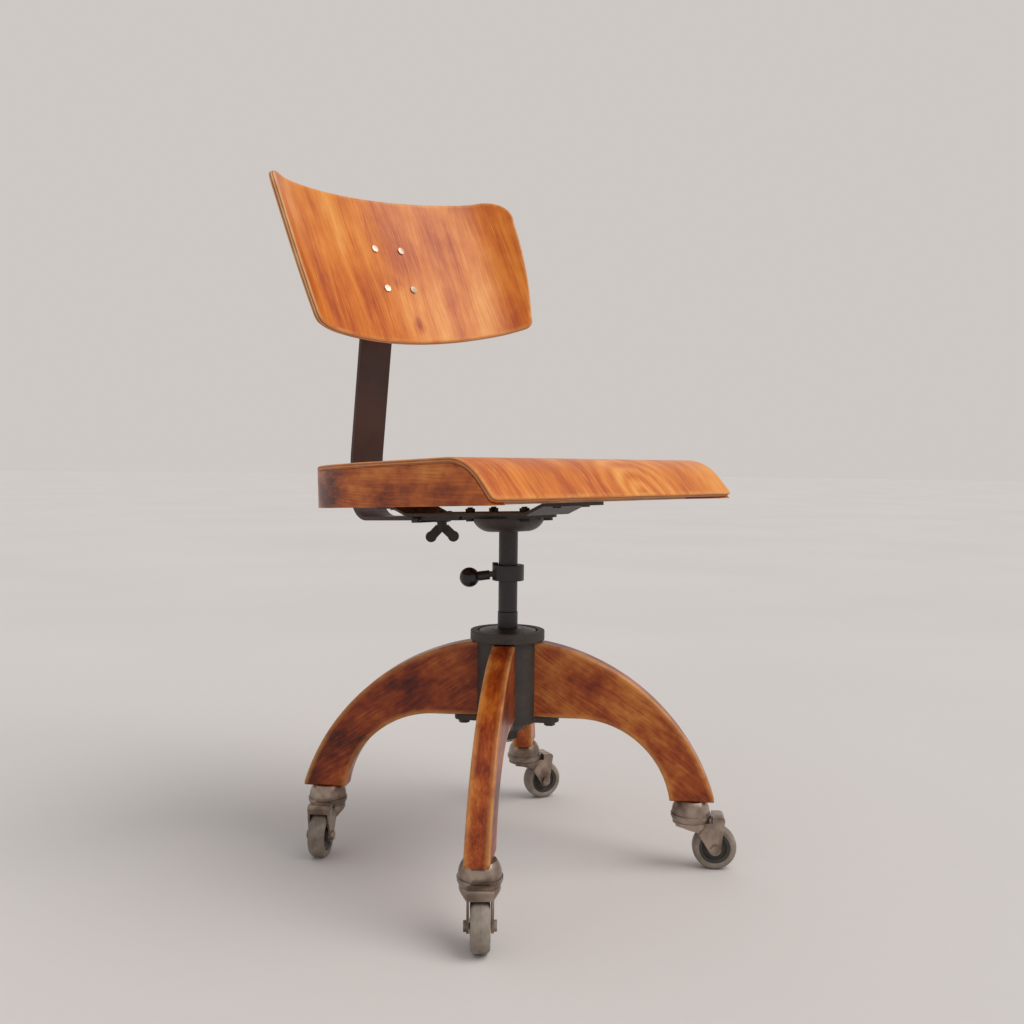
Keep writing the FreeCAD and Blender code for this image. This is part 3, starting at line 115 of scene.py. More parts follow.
def lathe(profile, count=64):
    """Points and faces of a profile of (radius, height) pairs turned about the upright axis."""
    profile = np.array(profile, float)
    angles = np.linspace(0, 2 * math.pi, count, endpoint=False)
    rings = [np.stack([r * np.cos(angles), r * np.sin(angles), np.full(count, h)], 1)
             for r, h in profile]
    faces = []
    for ring in range(len(profile) - 1):
        for step in range(count):
            a = ring * count + step
            b = ring * count + (step + 1) % count
            faces.append((a, b, b + count, a + count))
    return np.concatenate(rings), faces


def arc_points(centre, radius, start, end, count):
    """Points on an arc, with its angles in degrees."""
    angles = np.radians(np.linspace(start, end, count))
    return np.stack([centre[0] + radius * np.cos(angles), centre[1] + radius * np.sin(angles)], 1)


COLUMN = (-4.4, -24.6)
SEAT_LEAN = 2.65
PLATE_HEIGHT = 401
column_place = in_mm(*COLUMN, 0)
seat_place = in_mm(*COLUMN, PLATE_HEIGHT) @ turn(-SEAT_LEAN, "X")
print("the post stands at", COLUMN, "mm from the middle")

# %% [markdown]
# ## Shader helpers
# Every finish is a small graph of nodes. One helper adds a node and fills its inputs: a socket is
# linked, and a plain value is set. That keeps the recipes below readable from top to bottom, like the
# way they would be followed in the node editor from left to right.

# %% Helpers for finishes
def new_finish(name):
    """An empty finish with its surface shader wired up."""
    finish = bpy.data.materials.new(name)
    finish.use_nodes = True
    tree = finish.node_tree
    tree.nodes.clear()
    shader = tree.nodes.new("ShaderNodeBsdfPrincipled")
    output = tree.nodes.new("ShaderNodeOutputMaterial")
    tree.links.new(shader.outputs["BSDF"], output.inputs["Surface"])
    return finish, shader


def connect(tree, socket, value):
    if isinstance(value, bpy.types.NodeSocket):
        tree.links.new(value, socket)
    else:
        socket.default_value = value


def add(finish, kind, settings=None, **inputs):
    """Add a node. Names of inputs have _ for a space."""
    node = finish.node_tree.nodes.new("ShaderNode" + kind)
    for name, value in (settings or {}).items():
        setattr(node, name, value)
    for name, value in inputs.items():
        connect(finish.node_tree, node.inputs[name.replace("_", " ")], value)
    return node


def maths(finish, operation, first, second=0.0, clamp=False):
    node = add(finish, "Math", {"operation": operation, "use_clamp": clamp})
    connect(finish.node_tree, node.inputs[0], first)
    connect(finish.node_tree, node.inputs[1], second)
    return node.outputs[0]


def remap(finish, value, low, high, to_low=0.0, to_high=1.0):
    """Spread the range low..high over to_low..to_high, and hold it there."""
    node = add(finish, "MapRange", Value=value, From_Min=low, From_Max=high,
               To_Min=to_low, To_Max=to_high)
    return node.outputs["Result"]


def mixed(finish, share, first, second, blend="MIX"):
    node = add(finish, "Mix", {"data_type": "RGBA", "blend_type": blend})
    connect(finish.node_tree, node.inputs[0], share)
    connect(finish.node_tree, node.inputs[6], first)
    connect(finish.node_tree, node.inputs[7], second)
    return node.outputs[2]


def vector_maths(finish, operation, first, second=(0.0, 0.0, 0.0)):
    node = add(finish, "VectorMath", {"operation": operation})
    connect(finish.node_tree, node.inputs[0], first)
    connect(finish.node_tree, node.inputs[1], second)
    return node.outputs["Value" if operation == "LENGTH" else "Vector"]


def ramp(finish, value, stops):
    """A colour ramp with its stops as (place, colour)."""
    node = add(finish, "ValToRGB", Fac=value)
    band = node.color_ramp.elements
    while len(band) < len(stops):
        band.new(0.5)
    for element, (place, colour) in zip(band, stops):
        element.position = place
        element.color = colour
    return node.outputs["Color"]


def stretched(finish, coords, scale, turn_by=(0, 0, 0)):
    """The coordinates multiplied by a scale for each axis, after a turn."""
    turned = add(finish, "Mapping", {"vector_type": "TEXTURE"}, Vector=coords, Rotation=turn_by)
    return add(finish, "Mapping", Vector=turned.outputs[0], Scale=scale).outputs[0]


def noise(finish, coords, scale, detail=3.0, roughness=0.55):
    """Soft noise whose scale is in waves per metre along each axis."""
    where = stretched(finish, coords, scale)
    node = add(finish, "TexNoise", Vector=where, Scale=1.0, Detail=detail, Roughness=roughness)
    return node.outputs["Fac"]


def bump(finish, shader, height, distance, strength=1.0):
    node = add(finish, "Bump", Height=height, Distance=distance, Strength=strength)
    finish.node_tree.links.new(node.outputs["Normal"], shader.inputs["Normal"])


def srgb(red, green, blue):
    """A colour read off a picture, from 0 to 255, as the linear colour that shaders use."""
    linear = [((c / 255 + 0.055) / 1.055) ** 2.4 if c > 10 else c / 255 / 12.92
              for c in (red, green, blue)]
    return (*linear, 1.0)


print("amber varnish in linear colour:", [round(c, 3) for c in srgb(214, 125, 40)])

# %% [markdown]
# ## Floor and light
# A plain pale floor catches the chair's soft shadow. The light is even: a bright sky all round, and one
# very wide sun from the seat's front, a little to the right of the camera. A wide sun gives soft shadow
# edges, and unlike a lamp it lights the far floor as much as the near one. Camera rays and reflections
# see a pale grey sky, so that the background stays plain whatever the light does.

# %% Floor, sun and sky
FLOOR_RADIUS = 40


def make_floor():
    finish, shader = new_finish("pale_floor")
    coords = add(finish, "TexCoord").outputs["Object"]
    clouds = noise(finish, coords, (0.9, 0.9, 0.9), 2.0)
    specks = noise(finish, coords, (55, 55, 55), 3.0, 0.7)
    level = maths(finish, "ADD", clouds, maths(finish, "MULTIPLY", specks, 0.25))
    colour = ramp(finish, level, [(0.35, srgb(205, 199, 195)), (0.85, srgb(210, 204, 200))])
    finish.node_tree.links.new(colour, shader.inputs["Base Color"])
    shader.inputs["Roughness"].default_value = 0.85
    shader.inputs["Specular IOR Level"].default_value = 0.2
    ring = [(FLOOR_RADIUS * math.cos(a), FLOOR_RADIUS * math.sin(a), 0)
            for a in np.linspace(0, 2 * math.pi, 97)[:-1]]
    mesh = bpy.data.meshes.new("floor")
    mesh.from_pydata(ring, [], [tuple(range(len(ring)))])
    mesh.materials.append(finish)
    floor = bpy.data.objects.new("floor", mesh)
    bpy.context.scene.collection.objects.link(floor)
    return floor


def make_light():
    data = bpy.data.lights.new("wide_sun", "SUN")
    data.energy = 1.55
    data.angle = math.radians(44)
    data.color = (1.0, 0.985, 0.965)
    sun = bpy.data.objects.new("wide_sun", data)
    sun.rotation_euler = Vector((0.35, -0.75, 1.15)).to_track_quat("Z", "Y").to_euler()
    bpy.context.scene.collection.objects.link(sun)
    world = bpy.data.worlds.new("sky")
    world.use_nodes = True
    tree = world.node_tree
    tree.nodes.clear()
    seen = tree.nodes.new("ShaderNodeBackground")
    seen.inputs["Color"].default_value = srgb(206, 200, 196)
    light = tree.nodes.new("ShaderNodeBackground")
    light.inputs["Color"].default_value = (0.97, 0.98, 1.0, 1.0)
    light.inputs["Strength"].default_value = 0.62
    ray = tree.nodes.new("ShaderNodeLightPath")
    mirrored = tree.nodes.new("ShaderNodeMath")
    mirrored.operation = "MAXIMUM"
    tree.links.new(ray.outputs["Is Glossy Ray"], mirrored.inputs[0])
    tree.links.new(ray.outputs["Is Transmission Ray"], mirrored.inputs[1])
    looked_at = tree.nodes.new("ShaderNodeMath")
    looked_at.operation = "MAXIMUM"
    tree.links.new(ray.outputs["Is Camera Ray"], looked_at.inputs[0])
    tree.links.new(mirrored.outputs[0], looked_at.inputs[1])
    choice = tree.nodes.new("ShaderNodeMixShader")
    output = tree.nodes.new("ShaderNodeOutputWorld")
    tree.links.new(looked_at.outputs[0], choice.inputs[0])
    tree.links.new(light.outputs[0], choice.inputs[1])
    tree.links.new(seen.outputs[0], choice.inputs[2])
    tree.links.new(choice.outputs[0], output.inputs["Surface"])
    bpy.context.scene.world = world
    return sun


floor = make_floor()
sun = make_light()
bpy.context.scene.view_settings.view_transform = "Standard"
print("sun strength:", sun.data.energy, "and its width:", round(math.degrees(sun.data.angle)), "degrees")

# %% [markdown]
# ## Stained plywood
# The seat and backrest are beech or birch ply, stained amber and varnished. Their look has four layers:
# broad uneven bands where the stain took more or less, slow clouds of red-brown, fine fibres along the
# grain, and short pale pores. All of them are noise stretched along the grain. The pieces carry their
# own flat coordinates in metres, across and along the grain, so the figure follows every bend.

# %% Stained wood recipe
def stained_wood(name, coords_of, palette, across=22, along=2.2, pores=0.5, clouds=(9, 6, 9), knots=(),
                 figure=None, gloss=0.34, cloud_share=0.5, rim=None, coat=0.08):
    """Wood whose coordinates run across the grain in X and along it in Y."""
    finish, shader = new_finish(name)
    coords = coords_of(finish)
    drift = remap(finish, noise(finish, coords, (14, 4, 8), 2.0), 0, 1, -0.01, 0.01)
    warped = vector_maths(finish, "ADD", coords, add(finish, "CombineXYZ", X=drift).outputs[0])
    bands = noise(finish, warped, (across, along, across), 4.0, 0.6)
    fibres = noise(finish, warped, (across * 17, along * 5, across * 17), 3.0, 0.6)
    blotches = noise(finish, coords, clouds, 4.0, 0.62)
    tone = maths(finish, "MULTIPLY", bands, 1 - cloud_share)
    tone = maths(finish, "ADD", tone, maths(finish, "MULTIPLY", blotches, cloud_share))
    fine = maths(finish, "MULTIPLY", maths(finish, "SUBTRACT", fibres, 0.5), 0.26)
    tone = maths(finish, "ADD", tone, fine)
    if figure:
        tone = maths(finish, "ADD", tone, cathedral(finish, coords, *figure))
    for centre, size, depth in knots:
        tone = maths(finish, "SUBTRACT", tone, knot(finish, coords, centre, size, depth))
    colour = ramp(finish, tone, palette)
    streaks = noise(finish, warped, (across * 26, along * 11, across * 26), 2.0, 0.5)
    pore = maths(finish, "MULTIPLY", remap(finish, streaks, 0.63, 0.72), pores)
    colour = mixed(finish, pore, colour, palette[-1][1])
    if rim:
        colour = mixed(finish, rim(finish), colour, srgb(226, 164, 92))
    tree = finish.node_tree
    tree.links.new(colour, shader.inputs["Base Color"])
    rough = remap(finish, blotches, 0.3, 0.7, gloss + 0.07, gloss - 0.05)
    tree.links.new(rough, shader.inputs["Roughness"])
    shader.inputs["Specular IOR Level"].default_value = 0.3
    shader.inputs["Coat Weight"].default_value = coat
    shader.inputs["Coat Roughness"].default_value = 0.22
    height = maths(finish, "SUBTRACT", fibres, maths(finish, "MULTIPLY", pore, 0.6))
    bump(finish, shader, height, 0.00012, 0.5)
    return finish


def cathedral(finish, coords, centre, reach, strength):
    """Nested arches, as a cut through the growth rings shows them."""
    moved_to = add(finish, "Mapping", {"vector_type": "TEXTURE"}, Vector=coords,
                   Location=(centre[0], centre[1], 0), Scale=(reach[0], reach[1], 1))
    wobble = noise(finish, coords, (16, 9, 16), 3.0)
    far = vector_maths(finish, "LENGTH", moved_to.outputs[0])
    rings = maths(finish, "ADD", maths(finish, "MULTIPLY", far, 30.0),
                  maths(finish, "MULTIPLY", wobble, 7.0))
    waves = maths(finish, "SINE", rings)
    fade = remap(finish, far, 1.3, 0.4)
    return maths(finish, "MULTIPLY", maths(finish, "MULTIPLY", waves, strength), fade)


def knot(finish, coords, centre, size, depth):
    """How much darker the wood is near a small knot."""
    near = add(finish, "Mapping", {"vector_type": "TEXTURE"}, Vector=coords,
               Location=(centre[0], centre[1], 0), Scale=(size[0], size[1], 1000))
    far = vector_maths(finish, "LENGTH", near.outputs[0])
    uneven = maths(finish, "MULTIPLY", noise(finish, coords, (90, 60, 90), 2.0), 0.8)
    distance = maths(finish, "ADD", far, uneven)
    return remap(finish, distance, 1.4, 0.4, 0.0, depth)


def own_coords(finish):
    """The flat coordinates that a piece's UV map holds, in metres."""
    return add(finish, "UVMap", {"uv_map": "grain"}).outputs["UV"]


def worn_rim(finish):
    """Paler wood in the last millimetres before an edge, broken up by noise."""
    rim = add(finish, "Attribute", {"attribute_name": "rim_distance"}).outputs["Fac"]
    coords = own_coords(finish)
    broken = remap(finish, noise(finish, coords, (40, 40, 40), 4.0, 0.7), 0.35, 0.65)
    near = remap(finish, rim, 0.006, 0.001)
    return maths(finish, "MULTIPLY", near, maths(finish, "MULTIPLY", broken, 0.85))


AMBER = [(0.31, srgb(132, 48, 10)), (0.42, srgb(184, 84, 20)), (0.53, srgb(216, 122, 36)),
         (0.70, srgb(242, 170, 84))]
backrest_wood = stained_wood("backrest_wood", own_coords, AMBER, across=30, along=2.2, pores=0.55,
                             clouds=(11, 7, 9),
                             knots=[((0.000, -0.012), (0.010, 0.013), 0.16),
                                    ((0.012, -0.072), (0.012, 0.015), 0.22)],
                             rim=worn_rim)
seat_wood = stained_wood("seat_wood", own_coords, AMBER, across=16, along=2.6, pores=0.6,
                         figure=((0.03, -0.19), (0.09, 0.11), 0.05), rim=worn_rim)
print("stained woods:", backrest_wood.name, "and", seat_wood.name)

# %% [markdown]
# ## Plywood edges
# A ply board shows its layers on its edge: thin veneers whose grain turns a quarter each time, so light
# long grain and dark end grain alternate. The edge faces carry a second kind of flat coordinates: the
# way round the board, and the depth through it. Stripes by depth give the layers.

# %% Ply edge finish
def ply_edge(name, layers, thickness, pale, dark):
    finish, shader = new_finish(name)
    coords = own_coords(finish)
    parts = add(finish, "SeparateXYZ", Vector=coords)
    wander = maths(finish, "MULTIPLY", noise(finish, coords, (25, 300, 1), 3.0), 0.5)
    depth = maths(finish, "MULTIPLY", parts.outputs["Y"], layers / (thickness * MM))
    level = maths(finish, "PINGPONG", maths(finish, "ADD", depth, wander), 1.0)
    stripes = remap(finish, level, 0.35, 0.65)
    dirt = remap(finish, noise(finish, coords, (30, 120, 1), 4.0, 0.7), 0.35, 0.7)
    tone = maths(finish, "ADD", maths(finish, "MULTIPLY", stripes, 0.6),
                 maths(finish, "MULTIPLY", dirt, 0.4))
    colour = ramp(finish, tone, [(0.1, dark), (0.9, pale)])
    finish.node_tree.links.new(colour, shader.inputs["Base Color"])
    shader.inputs["Roughness"].default_value = 0.5
    bump(finish, shader, tone, 0.0002, 0.6)
    return finish


back_edge = ply_edge("backrest_ply_edge", 5, 7.5, srgb(222, 172, 116), srgb(150, 88, 44))
seat_edge = ply_edge("seat_ply_edge", 5, 6.2, srgb(206, 132, 70), srgb(142, 72, 32))
print("ply edges:", back_edge.name, "and", seat_edge.name)

# %% [markdown]
# ## Bending a board
# A bent board is flat before it is pressed. So it is drawn flat first, as four border lines, and filled
# with a Coons patch: each inner point is blended from the four borders. The patch makes even quads that
# run along all four sides, also where the corners are round. Then every flat point is sent to its place
# on the bend. The edge is built from rings that step round a small curve from one face to the other.

# %% Board helpers
def resampled(points, count):
    """The same line with evenly spaced points."""
    points = np.array(points, float)
    run = np.concatenate([[0], np.cumsum(np.linalg.norm(np.diff(points, axis=0), axis=1))])
    even = np.linspace(0, run[-1], count)
    return np.stack([np.interp(even, run, points[:, axis]) for axis in (0, 1)], 1)


def coons_patch(bottom, right, top, left):
    """A grid between four borders. Bottom and top run to the right, left and right run upwards."""
    across = np.linspace(0, 1, len(bottom))[None, :, None]
    upward = np.linspace(0, 1, len(left))[:, None, None]
    sides = left[:, None] * (1 - across) + right[:, None] * across
    ends = bottom[None] * (1 - upward) + top[None] * upward
    low = bottom[0] * (1 - across) + bottom[-1] * across
    high = top[0] * (1 - across) + top[-1] * across
    return sides + ends - (low * (1 - upward) + high * upward)


def inset(loop, distance):
    """A closed loop that runs against the clock, moved inwards."""
    ahead = np.roll(loop, -1, axis=0) - np.roll(loop, 1, axis=0)
    ahead /= np.linalg.norm(ahead, axis=1)[:, None]
    inward = np.stack([-ahead[:, 1], ahead[:, 0]], 1)
    return loop + inward * distance


def rim_distances(flat, loop):
    """How far each flat point is from the loop, in metres."""
    far = [np.min(np.hypot(*(loop - point).T)) for point in flat]
    return np.array(far) * MM


def bent_board(name, borders, bend, thickness, edge_round, finishes, body, place, node):
    """A board from four flat borders, bent by a function of (flat points, depth)."""
    bottom, right, top, left = borders
    wide, tall = len(bottom), len(left)
    loop = np.concatenate([bottom[:-1], right[:-1], top[::-1][:-1], left[::-1][:-1]])
    steps = [math.radians(angle) for angle in (0, 22, 45, 68, 90)]
    rings = [(edge_round * (1 - math.sin(a)), edge_round * (1 - math.cos(a))) for a in steps]
    rings += [(inward, thickness - depth) for inward, depth in reversed(rings)]

    def split(ring):
        """The four borders of a moved loop."""
        ring = np.concatenate([ring, ring[:1]])
        marks = [0, wide - 1, wide + tall - 2, 2 * wide + tall - 3, 2 * wide + 2 * tall - 4]
        b, r, t, l = [ring[marks[i]:marks[i + 1] + 1] for i in range(4)]
        return b, r, t[::-1], l[::-1]

    face = coons_patch(*split(inset(loop, rings[0][0])))
    flat = face.reshape(-1, 2)
    count = wide * tall
    grid = np.arange(count).reshape(tall, wide)
    border = np.concatenate([grid[0, :-1], grid[:-1, -1], grid[-1, ::-1][:-1], grid[::-1, 0][:-1]])
    points = [bend(flat, 0.0)]
    flats = [flat]
    ring_ids = [border]
    total = count
    for inward, depth in rings[1:-1]:
        moved_loop = inset(loop, inward)
        points.append(bend(moved_loop, depth))
        flats.append(moved_loop)
        ring_ids.append(np.arange(total, total + len(loop)))
        total += len(loop)
    points.append(bend(flat, thickness))
    flats.append(flat)
    ring_ids.append(border + total)

    quads = np.stack([grid[:-1, :-1], grid[:-1, 1:], grid[1:, 1:], grid[1:, :-1]], -1).reshape(-1, 4)
    faces = [tuple(q) for q in quads] + [tuple(q[::-1] + total) for q in quads]
    face_kinds = [0] * (2 * len(quads))
    around = np.arange(len(loop))
    after = (around + 1) % len(loop)
    for level in range(len(ring_ids) - 1):
        upper, lower = ring_ids[level], ring_ids[level + 1]
        strip = np.stack([upper[around], lower[around], lower[after], upper[after]], 1)
        faces += [tuple(q) for q in strip]
        veneer = level < 2 or level > len(ring_ids) - 4
        face_kinds += [0 if veneer else 1] * len(loop)

    piece = new_piece(name, np.concatenate(points), faces, finishes, body, place, smooth=55)
    mesh = piece.data
    mesh.polygons.foreach_set("material_index", face_kinds)
    flats = np.concatenate(flats)
    run = np.concatenate([[0], np.cumsum(np.linalg.norm(np.diff(loop, axis=0), axis=1))])
    depths = [depth for inward, depth in rings]
    grain = mesh.uv_layers.new(name="grain")
    values = np.zeros((len(mesh.loops), 2))
    for polygon, kind in zip(mesh.polygons, face_kinds):
        for corner in polygon.loop_indices:
            values[corner] = flats[mesh.loops[corner].vertex_index]
    rim_start = 2 * len(quads)
    for level in range(len(ring_ids) - 1):
        if face_kinds[rim_start + level * len(loop)] == 0:
            continue
        for step in range(len(loop)):
            corners = mesh.polygons[rim_start + level * len(loop) + step].loop_indices
            ends = (run[step], run[step], run[step] + 3, run[step] + 3)
            deep = (depths[level], depths[level + 1], depths[level + 1], depths[level])
            for corner, along, depth in zip(corners, ends, deep):
                values[corner] = (along, depth)
    grain.data.foreach_set("uv", (values * MM).ravel())
    rim = mesh.attributes.new("rim_distance", "FLOAT", "POINT")
    rim.data.foreach_set("value", rim_distances(flats, loop))
    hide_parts(node)
    return piece


print("a Coons patch of a square is even:", coons_patch(*[resampled(line, 3) for line in (
    [(0, 0), (2, 0)], [(2, 0), (2, 2)], [(0, 2), (2, 2)], [(0, 0), (0, 2)])])[1, 1])

# %% [markdown]
# ## The backrest
# The board has a wide shallow bend in the middle and two tighter wings that curl towards the sitter.
# Its outline has a nearly straight top and bottom, sides that lean in towards the bottom, and round
# corners. It is tilted back and, as on the real chair, turned a little on its bracket.

# %% Backrest board
BACK_MIDDLE_RADIUS = 426
BACK_WING_RADIUS = 128
BACK_MIDDLE_REACH = 133
BACK_THICKNESS = 7.5
BACK_FRONT = -(7.4 + BACK_THICKNESS)
BACK_DROP = 11.9


def bend_backrest(flat, depth):
    """Send flat points (along the bend, height) to the bent board, depth behind its front face."""
    along, height = flat[:, 0], flat[:, 1]
    side = np.sign(along)
    reach = np.abs(along)
    joint = BACK_MIDDLE_REACH / BACK_MIDDLE_RADIUS
    in_wing = reach > BACK_MIDDLE_REACH
    angle = np.where(in_wing, joint + (reach - BACK_MIDDLE_REACH) / BACK_WING_RADIUS,
                     reach / BACK_MIDDLE_RADIUS)
    radius = np.where(in_wing, BACK_WING_RADIUS, BACK_MIDDLE_RADIUS)
    offset = BACK_MIDDLE_RADIUS - radius
    x = side * (offset * math.sin(joint) + (radius + depth) * np.sin(angle))
    y = BACK_FRONT - BACK_MIDDLE_RADIUS + offset * math.cos(joint) + (radius + depth) * np.cos(angle)
    return np.stack([x, y, height - BACK_DROP], 1)


def unroll(points):
    """The way along the bend for points given by their sideways distance on the rear face."""
    joint = BACK_MIDDLE_REACH / BACK_MIDDLE_RADIUS
    side = np.sign(points[:, 0])
    sideways = np.abs(points[:, 0])
    limit = (BACK_MIDDLE_RADIUS + BACK_THICKNESS) * math.sin(joint)
    middle = np.arcsin(np.minimum(sideways / (BACK_MIDDLE_RADIUS + BACK_THICKNESS), 0.99))
    wing_part = (sideways - (BACK_MIDDLE_RADIUS - BACK_WING_RADIUS) * math.sin(joint))
    wing = np.arcsin(np.clip(wing_part / (BACK_WING_RADIUS + BACK_THICKNESS), -0.99, 0.99))
    reach = np.where(sideways < limit, middle * BACK_MIDDLE_RADIUS,
                     BACK_MIDDLE_REACH + (wing - joint) * BACK_WING_RADIUS)
    return np.stack([side * reach, points[:, 1]], 1)


def arc_through(start, end, radius, count):
    """An arc between two points that bulges to the right of the way there."""
    start, end = np.array(start, float), np.array(end, float)
    chord = end - start
    half = np.linalg.norm(chord) / 2
    left = np.array([-chord[1], chord[0]]) / (2 * half)
    centre = (start + end) / 2 + left * math.sqrt(radius * radius - half * half)
    first = math.atan2(*(start - centre)[::-1])
    sweep = 2 * math.asin(half / radius)
    angles = first + np.linspace(0, sweep, count)
    return centre + radius * np.stack([np.cos(angles), np.sin(angles)], 1)


def backrest_borders():
    """The outline's four borders, split in the middle of each round corner."""
    shoulder, side_top = (161.6, 101.3), (195.3, 62)
    foot, toe = (181, -78.8), (170, -90.7)
    top_line = arc_through((-161.6, 101.3), shoulder, 2150, 60)
    top_line[:, 1] = 2 * top_line[0, 1] - top_line[:, 1]
    upper = arc_through(side_top, shoulder, 32.4, 24)
    side = arc_through(foot, side_top, 690, 30)
    lower = arc_through(toe, foot, 10.8, 16)
    base = arc_through((-170, -90.7), toe, 2640, 60)
    mirror = np.array([-1, 1])
    right = np.concatenate([lower[8:], side[1:-1], upper[:12]])
    top = np.concatenate([(upper[11:] * mirror), top_line[1:-1], upper[11:][::-1]])
    bottom = np.concatenate([(lower[:9] * mirror)[::-1], base[1:-1], lower[:9]])
    left = right * mirror
    counts = (96, 48, 96, 48)
    return [resampled(unroll(line), count) for line, count in zip((bottom, right, top, left), counts)]


BACK_SKEW = -4.4
BACK_TILT = -22
HINGE_PIN = in_mm(-4.4, 200.041, 706.101)
back_place = HINGE_PIN @ turn(BACK_SKEW, "Y") @ turn(BACK_TILT, "X")
backrest = bent_board("bent_backrest", backrest_borders(), bend_backrest, BACK_THICKNESS, 2.4,
                      [backrest_wood, back_edge], "backrest", back_place, "backrest_board")
print("backrest points:", len(backrest.data.vertices))

# %% [markdown]
# ## The seat
# The seat is one ply sheet: flat over the apron, bent down over the front edge in a waterfall curve, and
# cut straight below it. Seen from above it has straight sides and large round rear corners. It is drawn
# unrolled, with the distance from the post as the second coordinate, and bent over the front.

# %% Seat shell
SEAT_HALF_WIDTH = 198.7
SEAT_CORNER_RADIUS = 175
SEAT_CORNER_Y = 37
SEAT_THICKNESS = 6.2
SEAT_TOP = 9.7 + 4 + 40.5 + SEAT_THICKNESS
SEAT_BEND_START = 111.4
SEAT_BEND_RADIUS = 60
SEAT_BEND_ANGLE = math.radians(49.5)
SEAT_LIP = 26.5


def bend_seat(flat, depth):
    """Send flat points (sideways, distance behind the post) to the seat, depth below its top face."""
    run = -flat[:, 1] - SEAT_BEND_START
    angle = np.clip(run / SEAT_BEND_RADIUS, 0, SEAT_BEND_ANGLE)
    past = np.maximum(run - SEAT_BEND_RADIUS * SEAT_BEND_ANGLE, 0)
    radius = SEAT_BEND_RADIUS - depth
    ahead = np.where(run > 0, radius * np.sin(angle) + past * np.cos(angle), run)
    drop = np.where(run > 0, radius * np.cos(angle) - past * np.sin(angle), radius)
    height = SEAT_TOP - SEAT_BEND_RADIUS + drop
    return np.stack([flat[:, 0], -(SEAT_BEND_START + ahead), height], 1)


def seat_borders():
    front = -(SEAT_BEND_START + SEAT_BEND_RADIUS * SEAT_BEND_ANGLE + SEAT_LIP)
    corner_x = SEAT_HALF_WIDTH - SEAT_CORNER_RADIUS
    small = 5
    nose = arc_points((SEAT_HALF_WIDTH - small, front + small), small, -90, 0, 9)
    tail = arc_points((corner_x, SEAT_CORNER_Y), SEAT_CORNER_RADIUS, 0, 90, 61)
    mirror = np.array([-1, 1])
    right = np.concatenate([nose[4:], tail[:31]])
    top = np.concatenate([(tail[30:] * mirror), tail[30:][::-1]])
    bottom = np.concatenate([(nose[:5] * mirror)[::-1], nose[:5]])
    left = right * mirror
    counts = (72, 110, 72, 110)
    return [resampled(line, count) for line, count in zip((bottom, right, top, left), counts)]


seat = bent_board("bent_seat", seat_borders(), bend_seat, SEAT_THICKNESS, 2.0, [seat_wood, seat_edge],
                  "lift", seat_place, "seat_shell")
print("seat points:", len(seat.data.vertices))

# %% [markdown]
# ## Softening the solid parts
# Machined or cast edges are never razor sharp, and a tiny round catches a line of light that makes a
# part look real. Solid parts that stay get a weld, so that their faces join up, and a narrow bevel on
# the sharp edges only. Normals weighted by face size then keep large flat faces evenly shaded. Modifiers
# do this without touching the solid's own mesh.

# %% Edge softening and finishes for solid parts
def dress(names, finish, width=0.6, smooth=32):
    """Give solid parts a finish and narrow round edges."""
    for name in names:
        node = nodes[name]
        node.data.materials.clear()
        node.data.materials.append(finish)
        weld = node.modifiers.new("join_faces", "WELD")
        weld.merge_threshold = 0.00001
        if width:
            bevel = node.modifiers.new("soft_edges", "BEVEL")
            bevel.width = width * MM
            bevel.segments = 2
            bevel.limit_method = "ANGLE"
            bevel.angle_limit = math.radians(smooth)
            bevel.harden_normals = True
        shading = node.modifiers.new("even_shading", "WEIGHTED_NORMAL")
        shading.keep_sharp = True


def object_coords(finish):
    return add(finish, "TexCoord").outputs["Object"]


print("solid parts not yet replaced:", len([n for n in nodes.values() if not n.hide_render]))

# %% [markdown]
# ## The apron and rails
# Under the ply, a bent apron carries the seat. Its grain runs level all the way round, so noise that is
# wide in both level directions and narrow in height works on every side. The stain has gathered in dark
# patches. The two rails inside are bare pale wood, seen only from below.

# %% Apron and rails
def level_grain(finish):
    """Coordinates with height as the first, because the grain runs level."""
    parts = add(finish, "SeparateXYZ", Vector=object_coords(finish))
    along = maths(finish, "SUBTRACT", parts.outputs["Y"], parts.outputs["X"])
    return add(finish, "CombineXYZ", X=parts.outputs["Z"], Y=along, Z=parts.outputs["X"]).outputs[0]


APRON = [(0.34, srgb(78, 28, 10)), (0.45, srgb(146, 64, 22)), (0.55, srgb(184, 94, 34)),
         (0.70, srgb(212, 136, 62))]
apron_wood = stained_wood("apron_wood", level_grain, APRON, across=30, along=3.0, pores=0.25,
                          clouds=(26, 17, 17), cloud_share=0.72, coat=0.05)
plain_wood = stained_wood("plain_rail_wood", level_grain,
                          [(0.3, srgb(150, 112, 74)), (0.5, srgb(186, 148, 104)),
                           (0.65, srgb(204, 170, 128))],
                          across=40, along=3, pores=0.3, gloss=0.6)
dress(["seat_frame"], apron_wood, width=1.2)
dress(["front_rail", "rear_rail"], plain_wood, width=1.0)
print("apron and rails dressed")

# %% [markdown]
# ## The legs
# Four arched legs of solid beech, stained red-brown. Handling has worn the stain off their long edges to
# a golden line. The wear is worked out from the leg's own shape: near an edge, a point is close both to
# a side face and to the top or bottom curve. Each leg has its own copy of the finish, turned to its
# heading, so that the grain runs out along it.

# %% Leg finish
LEG_TURN = 37.44
ARCH_X = 84
ARCH_Z = 63
ARCH_RADIUS = 106
CORNERS = ["rear_right", "rear_left", "front_left", "front_right"]
LEG_RED = [(0.34, srgb(72, 22, 8)), (0.44, srgb(122, 42, 12)), (0.54, srgb(158, 72, 22)),
           (0.70, srgb(202, 128, 54))]


